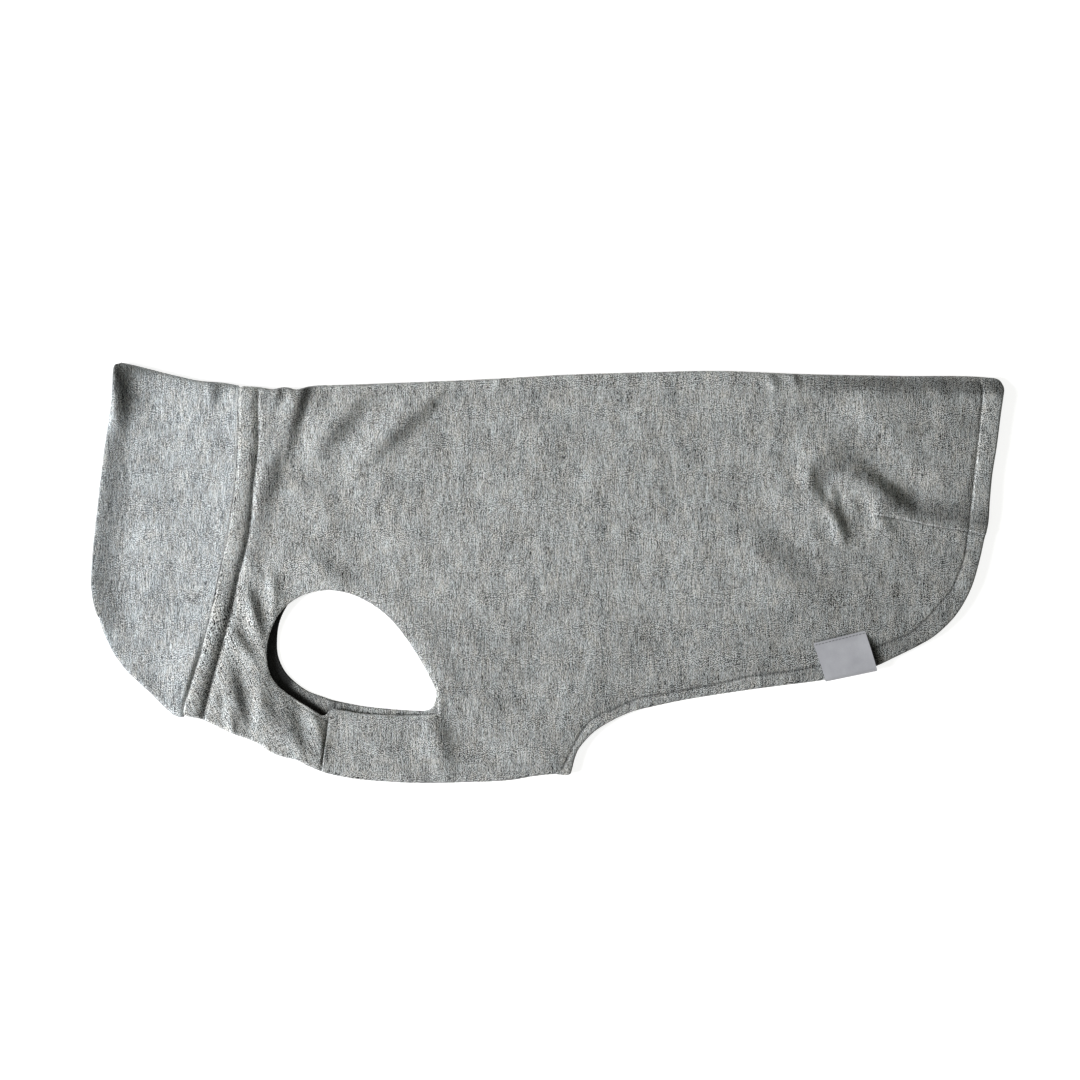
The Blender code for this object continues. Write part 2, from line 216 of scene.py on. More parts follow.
hem_topstitch = spots(258.7, 116.6, 260.7, 110.7, 260.7, 105.3, 259.2, 89.7, 253.8, 39.9, 252.3, 25.0,
                      251.1, 17.1, 249.9, 8.9, 245.7, -3.0, 242.1, -11.1, 234.9, -18.9, 230.1, -24.9,
                      224.1, -30.9, 216.9, -36.9, 207.9, -40.3, 198.1, -44.5, 181.0, -50.6,
                      164.1, -55.7, 138.9, -60.1, 121.5, -62.4, 98.7, -67.4, 75.9, -71.6, 53.1, -76.1,
                      38.1, -82.6, 29.7, -86.1, 22.0, -93.0, 17.0, -101.0, 13.5, -107.5, 11.1, -112.5,
                      9.0, -117.9)
lower_armhole_edge = spots(-74.7, -83.5, -84.3, -83.2, -96.3, -82.2, -108.3, -81.0, -120.3, -78.9,
                           -129.3, -76.9, -136.5, -74.5, -143.7, -71.8, -150.9, -67.0, -158.1, -59.6,
                           -162.3, -50.1, -162.9, -41.1, -161.4, -30.0, -157.5, -21.3, -151.0, -12.5,
                           -142.0, -6.8, -131.0, -5.0, -120.0, -6.0, -108.0, -10.0, -96.0, -17.5,
                           -85.0, -28.5, -74.0, -44.5, -69.0, -56.0, -67.4, -64.0, -67.3, -71.5,
                           -68.0, -78.0, -70.6, -82.2, -74.7, -83.5)
chest_seam = spots(-130.8, -83.0, -132.0, -89.1, -134.1, -104.0, -136.2, -119.5)
dart_seam = spots(192.3, 35.1, 214.0, 31.2, 235.5, 26.7, 248.7, 24.9, 263.3, 21.9)


def compare_with_frame(title, edges, box):
    """Print how far the drawn edges reach past the frame's box, in plan."""
    drawn = np.vstack(edges)
    past = [drawn.min(0) - box[0][:2], drawn.max(0) - box[1][:2]]
    print(title, "outline is off the frame by, mm:", np.round(past, 1).tolist())


compare_with_frame("body", [back_edge, tail_hem, belly_edge], body_box)
compare_with_frame("collar", [throat_edge, free_edge, nape_edge], collar_box)

# %% [markdown]
# ## The relief of the cloth
#
# Worn jersey that is smoothed out by hand keeps its main creases: pulls at the shoulder, a bunched strip
# in front of the armhole, a hollow round the dart. Each is one row of a table: three points of its
# middle line, from the back down to the belly, how far it falls away towards the tail and towards the
# neck, and how high it stands. A trough has a height under zero. Each one swells softly from its ends.

# %% A table of creases, in millimetres
Crease = namedtuple("Crease", "x1 y1 x2 y2 x3 y3 tail_width neck_width height")
shoulder_creases = [
    Crease(-143.5, 127.0, -152.7, 94.0, -160.0, 64.0, 5.4, 12.0, 3.10),
    Crease(-136.0, 117.0, -141.0, 95.0, -147.0, 73.0, 8.0, 3.6, 1.10),
    Crease(-158.0, 88.0, -168.0, 58.0, -176.0, 28.0, 6.5, 5.0, 1.90),
    Crease(-160.0, 117.0, -163.0, 106.0, -167.0, 94.0, 2.8, 3.0, 1.10),
    Crease(-171.4, 113.0, -171.8, 105.0, -172.8, 94.0, 2.0, 2.0, 0.60),
    Crease(-106.0, 113.0, -127.0, 89.5, -148.0, 62.0, 7.5, 10.0, 3.20),
    Crease(-58.0, 114.0, -89.5, 89.0, -122.0, 58.0, 7.5, 10.0, 3.70),
    Crease(-56.0, 119.0, -71.0, 103.0, -88.0, 88.0, 4.5, 2.2, 0.70),
    Crease(-26.0, 121.0, -33.0, 109.0, -42.0, 96.0, 3.5, 2.0, 0.60),
    Crease(-158.0, 30.0, -132.0, -1.0, -96.0, -20.0, 7.0, 11.0, 1.30),
    Crease(-156.0, 60.0, -137.0, 38.0, -116.0, 18.0, 10.0, 12.0, 0.90),
    Crease(-110.0, 70.0, -95.0, 44.0, -84.0, 14.0, 14.0, 16.0, 0.70),
]
front_strip_creases = [
    Crease(-188.0, 20.0, -174.0, -3.0, -158.0, -20.0, 5.0, 6.0, 0.60),
    Crease(-182.5, -3.0, -177.2, -22.0, -170.8, -46.0, 3.5, 4.5, 2.20),
    Crease(-169.0, 8.0, -164.8, -15.0, -167.0, -34.0, 4.0, 2.6, 1.40),
    Crease(-195.0, -28.0, -184.8, -43.0, -173.5, -57.5, 3.5, 4.5, 1.70),
    Crease(-194.5, -50.0, -188.3, -74.0, -182.0, -102.0, 5.4, 8.0, 2.40),
    Crease(-172.5, -68.0, -173.8, -86.0, -176.5, -103.0, 5.0, 2.4, 1.20),
    Crease(-192.5, -77.0, -189.8, -91.0, -187.0, -104.0, 2.5, 2.4, 1.40),
    Crease(-201.0, -65.0, -199.0, -76.0, -197.0, -87.0, 2.3, 2.2, 1.00),
    Crease(-177.0, -48.0, -169.5, -81.0, -151.0, -110.0, 7.5, 8.0, 2.50),
    Crease(-163.0, -66.0, -154.5, -92.0, -145.0, -118.0, 5.6, 5.0, 2.10),
    Crease(-145.0, -78.0, -137.5, -96.0, -136.5, -119.0, 3.0, 6.0, 1.70),
]
belly_creases = [
    Crease(-73.0, -72.0, -67.0, -98.0, -58.0, -130.0, 7.5, 9.5, 2.00),
    Crease(-66.8, -60.0, -65.0, -73.0, -65.5, -87.0, 3.0, 3.0, 0.80),
    Crease(46.0, -12.0, 20.0, -60.0, 8.0, -112.0, 14.0, 14.0, 0.80),
    Crease(-20.0, 60.0, -34.0, 20.0, -40.0, -24.0, 16.0, 18.0, 0.70),
]
dart_creases = [
    Crease(179.0, 77.0, 203.0, 58.5, 232.0, 34.0, 14.0, 8.0, -2.40),
    Crease(162.0, 66.0, 192.0, 48.0, 227.0, 30.0, 8.5, 7.0, 2.50),
    Crease(188.0, 62.0, 205.0, 45.5, 225.0, 33.0, 5.5, 7.0, 1.80),
    Crease(174.0, 106.0, 200.0, 90.0, 217.0, 66.0, 13.0, 8.0, 1.60),
    Crease(155.0, 69.0, 158.3, 49.0, 167.5, 28.0, 5.0, 6.5, 2.10),
    Crease(150.0, 50.0, 159.5, 68.0, 180.0, 77.0, 9.0, 6.5, 2.00),
    Crease(160.5, 50.0, 172.0, 31.5, 178.5, 11.0, 4.4, 4.6, 2.70),
    Crease(168.5, 57.0, 171.0, 45.5, 175.0, 34.0, 3.0, 3.2, 1.30),
    Crease(192.0, 48.0, 198.0, 34.0, 209.0, 19.0, 6.0, 5.0, 1.90),
    Crease(177.0, 54.0, 181.0, 42.0, 189.0, 30.0, 4.0, 4.0, 1.00),
    Crease(104.0, 37.0, 136.0, 6.0, 166.0, -26.0, 13.0, 15.0, 1.45),
    Crease(116.0, 50.0, 148.0, 18.0, 176.0, -9.0, 12.0, 11.0, -0.90),
    Crease(130.0, 78.0, 151.0, 37.0, 171.0, -4.0, 10.0, 14.0, 1.20),
    Crease(131.0, 122.0, 134.5, 115.0, 139.0, 106.0, 2.8, 2.6, 1.00),
    Crease(145.5, 122.0, 148.0, 114.5, 151.5, 107.0, 2.8, 2.6, 0.90),
    Crease(87.0, 112.0, 86.0, 58.0, 88.0, -4.0, 2.4, 2.4, 0.22),
    Crease(234.0, 110.0, 243.0, 91.0, 247.0, 68.0, 7.0, 9.0, 0.80),
]
collar_creases = [
    Crease(-262.5, 142.0, -259.0, 110.0, -257.0, 76.0, 6.0, 5.0, 3.40),
    Crease(-199.4, 123.0, -200.0, 111.0, -201.0, 97.0, 2.8, 4.0, 1.30),
    Crease(-222.0, -96.0, -216.0, -62.0, -207.0, -28.0, 9.0, 10.0, 1.20),
    Crease(-249.0, 112.0, -243.0, 80.0, -245.0, 46.0, 8.0, 8.0, 0.45),
    Crease(-236.0, 60.0, -239.0, 10.0, -231.0, -38.0, 12.0, 14.0, 0.55),
]


# %% Add up creases and soft waves
def soft_step(value):
    """0 below 0 and 1 above 1, with a smooth rise between."""
    value = np.clip(value, 0.0, 1.0)
    return value * value * (3.0 - 2.0 * value)


def bump(distance, width):
    return np.exp(-(distance / width) ** 2)


def crease_height(points, creases):
    """How far all the creases of a table lift or lower each point."""
    total = np.zeros(len(points))
    for crease in creases:
        path = smooth_path(spots(*crease[:6]), 2.0)
        reach = 2.6 * max(crease.tail_width, crease.neck_width)
        low, high = path.min(0) - reach, path.max(0) + reach
        close = np.all((points > low) & (points < high), axis=1)
        near = nearest(points[close], path)
        share = near.along / (2.0 * (len(path) - 1))
        swell = np.sin(math.pi * np.clip(share, 0.0, 1.0))
        width = np.where(near.side > 0.0, crease.tail_width, crease.neck_width) * (0.6 + 0.4 * swell)
        total[close] += crease.height * swell**1.5 * bump(near.distance, width)
    return total


Wave = namedtuple("Wave", "length direction phase height")
slow_waves = [
    Wave(74.0, 25.0, 0.4, 0.16),
    Wave(58.0, -38.0, 1.9, 0.13),
    Wave(43.0, 71.0, 3.1, 0.08),
    Wave(35.0, -12.0, 4.4, 0.07),
    Wave(27.0, 48.0, 5.2, 0.05),
    Wave(19.0, -64.0, 0.9, 0.03),
]


def wave_height(points):
    """A gentle unevenness that no cloth laid by hand is without."""
    total = np.zeros(len(points))
    for wave in slow_waves:
        angle = math.radians(wave.direction)
        along = points @ np.array([math.cos(angle), math.sin(angle)])
        bend = 6.0 * np.sin(points @ np.array([-math.sin(angle), math.cos(angle)]) / 23.0 + wave.phase)
        total += wave.height * np.sin(2.0 * math.pi * (along + bend) / wave.length + wave.phase)
    return total


# %% [markdown]
# ## Seams, hems and folds
#
# A topstitch pulls the cloth down into a narrow ditch, with a small pit at each stitch, and the cloth
# stands up a little beside it. A seam is only a narrow groove. At a fold the layer rolls over with the
# fold's radius.


# %% Shape a stitched line, a seam and a fold
DITCH_DEPTH = 0.3
DITCH_WIDTH = 0.5
FLOOR_SOFTNESS = 0.02


def ditch(points, path):
    """A ditch along a row of stitches, a little deeper at each one."""
    near = nearest(points, path)
    pits = 1.0 + 0.3 * np.cos(2.0 * math.pi * near.along / STITCH_PITCH)
    return -DITCH_DEPTH * bump(near.distance, DITCH_WIDTH) * pits


def seam_groove(points, path, depth, lip, lip_side):
    """A narrow groove with a small raised lip on one side of it, fading at its first point."""
    near = nearest(points, path)
    fade = soft_step(near.along / 6.0)
    raised = lip * bump(near.distance - 1.3, 1.0) * (near.side == lip_side)
    return fade * (raised - depth * bump(near.distance, 0.5))


def rolled(share):
    """A quarter round: 0 at the edge, 1 where the flat begins."""
    share = np.clip(share, 0.0, 1.0)
    return np.sqrt(np.maximum(1.0 - (1.0 - share) ** 2, 0.0))


def at_least(height, lowest):
    """The height with a soft floor under it."""
    above = height - lowest
    return lowest + (above + np.sqrt(above**2 + FLOOR_SOFTNESS)) / 2.0


def beside(points, *paths):
    """The distance to the nearest of several paths."""
    return np.min([nearest(points, path).distance for path in paths], axis=0)


# %% [markdown]
# ## From outline to mesh
#
# The points of a layer come in three sorts: its edge, a few rows just inside the edge where the cloth
# rolls over, and an even triangular grid between. Rows also follow each seam, so a seam is sharp without
# a dense mesh everywhere. Blender's own Delaunay function joins them into triangles.

# %% Fill a layer with triangles
Layer = namedtuple("Layer", "points triangles")
EDGE_ROWS = (0.1, 0.35, 0.7, 1.15, 1.75, 2.5, 3.5)
LOWER_ROWS = (0.2, 0.7, 1.5, 2.8)
SEAM_ROWS = (-1.9, -1.0, -0.45, 0.0, 0.45, 1.0, 1.9)


def closed(loop):
    return np.vstack([loop, loop[:1]])


def grid(low, high, spacing):
    """An even triangular grid over a rectangle."""
    rise = spacing * math.sqrt(3.0) / 2.0
    rows = np.arange(low[1], high[1], rise)
    columns = np.arange(low[0], high[0], spacing)
    x, y = np.meshgrid(columns, rows)
    x = x + (np.arange(len(rows)) % 2)[:, None] * spacing / 2.0
    return np.column_stack([x.ravel(), y.ravel()])


def fill_layer(loops, rows, seams, spacing, fine_boxes=(), fine_spacing=1.6):
    """Triangles over the space inside the first loop and outside the others."""
    borders = [closed(loop) for loop in loops]

    def in_layer(points):
        found = inside(points, loops[0])
        for hole in loops[1:]:
            found &= ~inside(points, hole)
        return found

    parts = list(loops)
    for loop in loops:
        for row in rows:
            moved_in = side_step(loop, -row, closed=True)
            clear = beside(moved_in, *borders) > 0.93 * row
            parts.append(moved_in[clear & in_layer(moved_in)])
    for seam in seams:
        for row in SEAM_ROWS:
            line = side_step(seam, row)
            line = line[in_layer(line)]
            parts.append(line[beside(line, *borders) > rows[-1] + 0.6])
    low, high = loops[0].min(0), loops[0].max(0)
    coarse = grid(low, high, spacing)
    fine = grid(low, high, fine_spacing)
    in_fine = [np.zeros(len(points), dtype=bool) for points in (coarse, fine)]
    for x1, y1, x2, y2 in fine_boxes:
        for found, points in zip(in_fine, (coarse, fine)):
            found |= (points[:, 0] > x1) & (points[:, 0] < x2) & (points[:, 1] > y1) & (points[:, 1] < y2)
    for points, gap in ((coarse[~in_fine[0]], spacing), (fine[in_fine[1]], fine_spacing)):
        points = points[in_layer(points)]
        points = points[beside(points, *borders) > rows[-1] + 0.6 * gap]
        if seams:
            points = points[beside(points, *seams) > SEAM_ROWS[-1] + 0.6 * gap]
        parts.append(points)
    points = np.vstack(parts)
    edges = []
    first = 0
    for loop in loops:
        count = len(loop)
        edges += [(first + i, first + (i + 1) % count) for i in range(count)]
        first += count
    found = delaunay_2d_cdt([Vector(p) for p in points.tolist()], edges, [], 0, 1e-5)
    points = np.array([tuple(p) for p in found[0]])
    triangles = np.array(found[2])
    triangles = triangles[in_layer(points[triangles].mean(1))]
    a, b, c = (points[triangles[:, i]] for i in range(3))
    turned = (b[:, 0] - a[:, 0]) * (c[:, 1] - a[:, 1]) - (b[:, 1] - a[:, 1]) * (c[:, 0] - a[:, 0]) < 0.0
    triangles[turned] = triangles[turned][:, ::-1]
    return Layer(points, triangles)


# %% [markdown]
# ## Two layers make a tube
#
# The outer skin is made first: the upper layer, the lower layer, and the fold points that they share.
# Moving it inwards by the cloth's thickness gives the inner skin. At a cut or hemmed edge the two skins
# draw together and share their points, so the edge is round and the piece is one closed wall of cloth
# all round.


# %% Build a flat tube of cloth
def corner_normals(points, triangles):
    a, b, c = (points[triangles[:, i]] for i in range(3))
    faces = np.cross(b - a, c - a)
    normals = np.zeros_like(points)
    for i in range(3):
        np.add.at(normals, triangles[:, i], faces)
    return normals / np.maximum(np.linalg.norm(normals, axis=1), 1e-12)[:, None]


RoundEdge = namedtuple("RoundEdge", "path radius")


def edge_share(points, round_edges):
    """How far each point is up the round of its nearest free edge: 0 on the edge, 1 past the round."""
    shares = []
    for edge in round_edges:
        distance = nearest(points, edge.path).distance
        shares.append(np.where(distance < 1e-3, 0.0, rolled(distance / edge.radius)))
    return np.min(shares, axis=0)


def cloth_tube(name, upper, lower, heights, folds, free_edges, grain, shade):
    """A closed mesh of cloth from two layers, with its grain as a UV map."""
    upper_z, upper_wall, lower_z, lower_wall = heights
    known = {tuple(p): i for i, p in enumerate(np.round(upper.points, 4).tolist())}
    on_fold = beside(lower.points, *folds) < 1e-3
    ids = np.empty(len(lower.points), dtype=int)
    fresh = []
    for i, point in enumerate(np.round(lower.points, 4).tolist()):
        shared = known.get(tuple(point)) if on_fold[i] else None
        ids[i] = len(upper.points) + len(fresh) if shared is None else shared
        if shared is None:
            fresh.append(i)
    plan = np.vstack([upper.points, lower.points[fresh]])
    z = np.concatenate([upper_z(upper.points), lower_z(lower.points[fresh])])
    wall = np.concatenate([upper_wall(upper.points), lower_wall(lower.points[fresh])])
    skin = np.column_stack([plan, z])
    outside = np.vstack([upper.triangles, ids[lower.triangles][:, ::-1]])
    normals = corner_normals(skin, outside)
    full = np.concatenate([edge_share(upper.points, free_edges[0]),
                           edge_share(lower.points[fresh], free_edges[1])])
    half = (wall / 2.0)[:, None]
    middle = skin - normals * half
    outer = middle + normals * half * full[:, None]
    inner = middle - normals * half * full[:, None]
    inner_ids = np.arange(len(plan))
    inside_only = np.flatnonzero(full > 0.0)
    inner_ids[inside_only] = len(plan) + np.arange(len(inside_only))
    points = np.vstack([outer, inner[inside_only]])
    triangles = np.vstack([outside, inner_ids[outside][:, ::-1]])
    piece = new_piece(name, points, triangles)
    around = np.vstack([plan, plan[inside_only]])
    rim = beside(around, *folds, *[edge.path for edge in free_edges[0]])
    turned_down = 0.5 * (1.0 - soft_step(rim / 1.4)) * points[:, 2]
    set_grain(piece, grain(around) + turned_down[:, None])
    mark(piece, "shade", shade(points[:, :2], points[:, 2]))
    print(name, "has", len(triangles), "triangles")
    return piece


CRISP_EDGE = math.radians(50.0)


def new_piece(name, points, faces):
    """A smooth mesh object from points in millimetres."""
    mesh = bpy.data.meshes.new(name)
    mesh.from_pydata((np.asarray(points) * MM).tolist(), [], np.asarray(faces).tolist())
    mesh.update()
    mesh.shade_smooth()
    mesh.set_sharp_from_angle(angle=CRISP_EDGE)
    piece = bpy.data.objects.new(name, mesh)
    bpy.context.scene.collection.objects.link(piece)
    return piece


def set_grain(piece, coordinates):
    """Store a place on the flat cloth for each vertex, in metres, as a UV map."""
    corners = np.empty(len(piece.data.loops), dtype=np.int32)
    piece.data.loops.foreach_get("vertex_index", corners)
    layer = piece.data.uv_layers.new(name="cloth")
    layer.data.foreach_set("uv", (coordinates[corners] * MM).ravel())


def mark(piece, name, values):
    """Store one number for each vertex."""
    attribute = piece.data.attributes.new(name, "FLOAT", "POINT")
    attribute.data.foreach_set("value", np.asarray(values, dtype=np.float32))


# %% [markdown]
# ## The body
#
# The body is one piece, cut on the fold along the back, with a dart at the tail and a hem turned in and
# topstitched. In front of the armhole a short seam joins the chest strap. Both layers are filled from
# the same fold lines, and the lower one has its hem a little further in and its own armhole, turned and
# shifted.

# %% Edges of the body
EDGE_STEP = 1.3
SEAM_GAP = 0.02
LOWER_HEM_SETBACK = 1.5


def loop_from(*edges):
    return np.vstack([edge[:-1] for edge in edges])


neck = smooth_path(neck_seam, EDGE_STEP) + (SEAM_GAP, 0.0)
back = smooth_path(np.vstack([neck[-1:], back_edge[1:]]), EDGE_STEP)
hem = smooth_path(tail_hem, EDGE_STEP)
belly = smooth_path(np.vstack([belly_edge[:-1], neck[:1]]), EDGE_STEP)
count = np.arange(len(hem))
set_back = LOWER_HEM_SETBACK * soft_step(count / 14.0) * soft_step((len(hem) - 1 - count) / 14.0)
lower_hem = side_step(hem, -set_back[:, None])
lower_hem[[0, -1]] = hem[[0, -1]]
armhole = smooth_path(armhole_edge, EDGE_STEP)[:-1]
lower_armhole = smooth_path(lower_armhole_edge, EDGE_STEP)[:0:-1]
neck_stitches = smooth_path(neck_topstitch, STITCH_PITCH / 2.0)
hem_stitches = smooth_path(hem_topstitch, STITCH_PITCH / 2.0)
chest_line = smooth_path(chest_seam, 0.7)
dart_line = smooth_path(dart_seam, 0.7)
label_top = smooth_path(spots(157.5, -42.6, 174.6, -38.4, 192.0, -34.2), 0.9)
label_side = smooth_path(spots(190.8, -33.5, 196.0, -50.0, 199.0, -59.5), 0.9)
lower_seam = smooth_path(spots(-127.2, -76.0, -128.8, -84.0, -131.0, -97.0), 0.9)
print("hem", len(hem), "points; armhole", len(armhole), "points")


# %% [markdown]
# ## How high the body's cloth lies
#
# Each part of the shirt that stands up or is pulled down has a small function of its own: the band
# beside the collar, the hem, the fall of the cloth at the tail and the rim of the armhole. Their sum,
# with the creases, is the height of the upper layer. This is easier to change than a sculpted mesh,
# because each part stays apart.

# %% Height of each part of the body
BAND_FLATTENS = 0.25        # creases are this much of themselves on the stitched band
BODY_LOWEST = 2.55          # nothing presses the upper layer flatter than this


def neck_band(points, stitches):
    """The band beside the collar puffs between its seams and sinks along its stitches."""
    low_share = soft_step((20.0 - points[:, 1]) / 80.0)
    sink = 0.65 + 0.27 * low_share
    puff = (1.2 + 0.42 * low_share) * (1.0 - bump(stitches.distance, 2.7 + 0.6 * low_share))
    beyond = -sink * bump(stitches.distance, 1.7 + 0.7 * low_share)
    return np.where(stitches.side > 0.0, puff - sink, beyond)


def hem_band(points):
    """Two plies at the hem stand a little higher than one, and its stitches pull them down."""
    line = nearest(points, hem_stitches)
    straight = soft_step((points[:, 1] - 5.0) / 40.0)
    depth = 0.09 + 0.198 * straight
    rise = (0.05 + 0.18 * straight) * soft_step(line.distance / 2.2)
    beyond = -depth * bump(line.distance, 2.0)
    return np.where(line.side > 0.0, rise - depth * bump(line.distance, 1.0), beyond)


def tail_fall(points):
    """At the tail the cloth rises towards the back and then drops over the fold."""
    from_back = nearest(points, back).distance
    tail_share = soft_step((points[:, 0] - 125.0) / 60.0)
    rise = 1.2 * np.exp(-from_back / 35.0)
    drop = 3.4 * (1.0 - soft_step((from_back + 2.0) / 13.0))
    return tail_share * (rise - drop)


def armhole_rim(points):
    """The cloth lies down at the armhole, swells behind it, and has a turned edge at the front."""
    x, y = points.T
    from_rim = nearest(points, closed(armhole)).distance
    tail_side = soft_step((x + 130.0) / 40.0)
    below = soft_step((x + 137.0) / 6.0) * soft_step((-72.0 - y) / 8.0)
    turned_edge = soft_step((x + 157.0) / 6.0) * soft_step((-131.0 - x) / 6.0)
    turned_edge *= soft_step((-68.0 - y) / 6.0)
    swell = 0.9 * tail_side * bump(from_rim - 9.0, 8.0) * (1.0 - below)
    pressed = 0.5 * np.exp(-from_rim / 2.5) * (1.0 - below) + 0.8 * below * np.exp(-from_rim / 7.0)
    return swell - pressed - 0.5 * turned_edge * bump(from_rim - 1.6, 0.5)


# %% Height and thickness of the body's layers
def body_flat(points):
    """Top of the upper layer before it rolls over at the folds."""
    stitches = nearest(points, neck_stitches)
    flattened = np.where(stitches.side > 0.0, BAND_FLATTENS, 1.0)
    top = BODY_TOP + wave_height(points)
    for creases in (shoulder_creases, front_strip_creases, belly_creases, dart_creases):
        top += crease_height(points, creases) * flattened
    top += neck_band(points, stitches)
    from_neck = nearest(points, neck).distance
    top += NECK_RISE * np.exp(-from_neck / 35.0)
    top += (SEAM_LEVEL - top) * bump(from_neck, 1.7) + NECK_LIP * (soft_step(from_neck / 1.3) - 1.0)
    top += ditch(points, neck_stitches) + hem_band(points) + ditch(points, hem_stitches)
    top += seam_groove(points, chest_line, 1.0, 0.35, 1.0) + seam_groove(points, dart_line, 0.45, 0.8, 1.0)
    top += tail_fall(points) + armhole_rim(points)
    return at_least(top, BODY_LOWEST)


def body_upper_z(points):
    share = rolled(beside(points, back, belly) / (0.8 * BODY_FOLD))
    return BODY_FOLD + (body_flat(points) - BODY_FOLD) * share


def body_lower_z(points):
    """The lower layer is level, with its stitches' ditches on its own outer side, underneath."""
    share = rolled(beside(points, back, belly) / BODY_FOLD)
    lifted = -ditch(points, neck_stitches) - ditch(points, hem_stitches)
    return BODY_FOLD * (1.0 - share) + lifted * share


def body_wall(points):
    """One ply, and more where the hem and the band are turned in."""
    hem_line = nearest(points, hem_stitches)
    stitches = nearest(points, neck_stitches)
    away = soft_step(beside(points, back, belly) / 8.0)
    hemmed = soft_step(hem_line.distance / 1.5) * (hem_line.side > 0.0)
    banded = soft_step(stitches.distance / 1.5) * (stitches.side > 0.0)
    return JERSEY + away * (0.5 * hemmed + 0.7 * banded)


middle_of_side = body_flat(np.array([[0.0, 20.0]]))
print("upper layer in the middle of the side is", np.round(middle_of_side[0], 2), "mm high")

# %% [markdown]
# ## Which way the knit runs
#
# The pale and dark streaks of the yarn follow the knit, so the cloth keeps its own direction at each
# point, as a UV map in metres. A fabric on a real garment would be mapped the same way, from its cutting
# pattern.

# %% Grain of the cloth
STRIP_TURN = math.radians(-27.0)
STRIP_PIVOT = np.array([-150.0, -20.0])
CHEST_SEAM_TOP = np.array([-131.1, -83.1])
CHEST_SEAM_SLOPE = 0.1525


def body_grain(plan):
    """The knit runs up and down, except in front of the armhole, where the strip has swung round."""
    x, y = plan.T
    chest_x = CHEST_SEAM_TOP[0] + (y - CHEST_SEAM_TOP[1]) * CHEST_SEAM_SLOPE
    share = soft_step((-2.0 - y) / 62.0) * (x < chest_x)
    angle = STRIP_TURN * share
    c, s = np.cos(angle), np.sin(angle)
    away = plan - STRIP_PIVOT
    return np.column_stack([away[:, 0] * c - away[:, 1] * s, away[:, 0] * s + away[:, 1] * c]) + STRIP_PIVOT


# %% [markdown]
# ## Painted shade and light, kept on the cloth
#
# A wall of even thickness can't dip as deep as real folds and turned hems do, so the lamp alone leaves
# them flat. Each vertex therefore keeps one number, which the jersey's colour is multiplied by: painted
# shade under 1 where the cloth lies deep or turns away from the lamp at the neck end, a painted highlight
# over 1 on a rim that faces it. It is worked out from the place on the cloth, so it stays where it is in
# every view. The price is that this shade doesn't follow when the lamp is moved. The deepest folds and
# the label's painted shadow come first, as a table.

# %% A table of the deep folds and the label's painted shadow, in millimetres, and the share of light that each one loses
Deep = namedtuple("Deep", "x1 y1 x2 y2 x3 y3 width loss")
fold_and_label_shadows = [
    Deep(-137.0, 135.0, -145.8, 106.0, -153.5, 82.0, 4.8, 0.74),
    Deep(-147.5, 101.0, -154.5, 85.0, -161.0, 70.0, 7.0, 0.22),
    Deep(-155.0, 80.0, -164.0, 59.0, -173.0, 34.0, 4.5, 0.18),
    Deep(-109.0, 104.0, -123.0, 86.5, -139.0, 67.0, 6.0, 0.26),
    Deep(-64.0, 104.0, -87.0, 85.0, -111.0, 62.0, 6.0, 0.30),
    Deep(-162.0, 117.0, -160.3, 108.0, -157.5, 99.0, 2.1, 0.60),
    Deep(-155.2, 117.0, -153.8, 108.0, -151.5, 101.0, 1.9, 0.55),
    Deep(-172.9, 111.0, -172.6, 105.0, -172.0, 97.0, 1.6, 0.30),
    Deep(-138.0, 10.0, -124.0, 1.0, -110.0, -9.0, 5.0, 0.16),
    Deep(-179.0, -1.0, -173.8, -20.0, -169.5, -42.0, 2.4, 0.50),
    Deep(-189.0, -31.0, -182.0, -41.0, -175.0, -51.0, 2.6, 0.30),
    Deep(-189.5, -56.0, -184.2, -75.0, -179.0, -98.0, 4.2, 0.60),
    Deep(-188.3, -83.0, -187.6, -91.0, -186.5, -101.0, 1.8, 0.50),
    Deep(-198.0, -71.0, -197.2, -77.0, -196.2, -83.0, 1.5, 0.35),
    Deep(-170.0, -68.0, -162.0, -88.0, -144.0, -111.0, 5.4, 0.44),
    Deep(-64.0, -78.0, -61.0, -97.5, -55.0, -120.0, 5.0, 0.16),
    Deep(172.0, 70.0, 198.0, 52.5, 223.0, 34.0, 7.5, 0.24),
    Deep(161.5, 34.0, 164.0, 55.5, 187.0, 69.5, 4.8, 0.40),
    Deep(165.5, 44.0, 175.5, 32.0, 181.8, 17.5, 2.8, 0.45),
    Deep(112.0, 36.0, 142.0, 13.0, 168.0, -10.0, 9.0, 0.08),
    Deep(128.0, 84.0, 137.5, 67.0, 147.0, 48.0, 7.0, 0.12),
    Deep(132.0, 120.0, 135.0, 115.0, 138.5, 110.0, 1.8, 0.30),
    Deep(147.0, 120.0, 149.5, 115.0, 152.0, 110.0, 1.8, 0.30),
    Deep(-138.5, -84.0, -140.5, -103.0, -142.0, -122.0, 3.0, 0.18),
    Deep(-84.0, -87.4, -75.5, -88.8, -67.0, -86.6, 0.5, 0.35),
    # The last two rows are the label's painted shadow on the cloth, along its top edge and down its right
    # side.
    Deep(154.0, -43.6, 174.5, -38.4, 196.0, -33.2, 0.8, 0.65),
    Deep(188.5, -31.0, 195.8, -50.5, 201.5, -69.0, 2.3, 0.88),
]
collar_folds = [
    Deep(-202.6, 120.0, -200.6, 107.5, -198.5, 95.0, 2.6, 0.58),
    Deep(-249.0, -53.0, -240.0, -66.0, -229.0, -76.0, 5.0, 0.20),
    Deep(-268.0, 40.0, -266.5, 8.0, -262.0, -24.0, 7.0, 0.10),
]


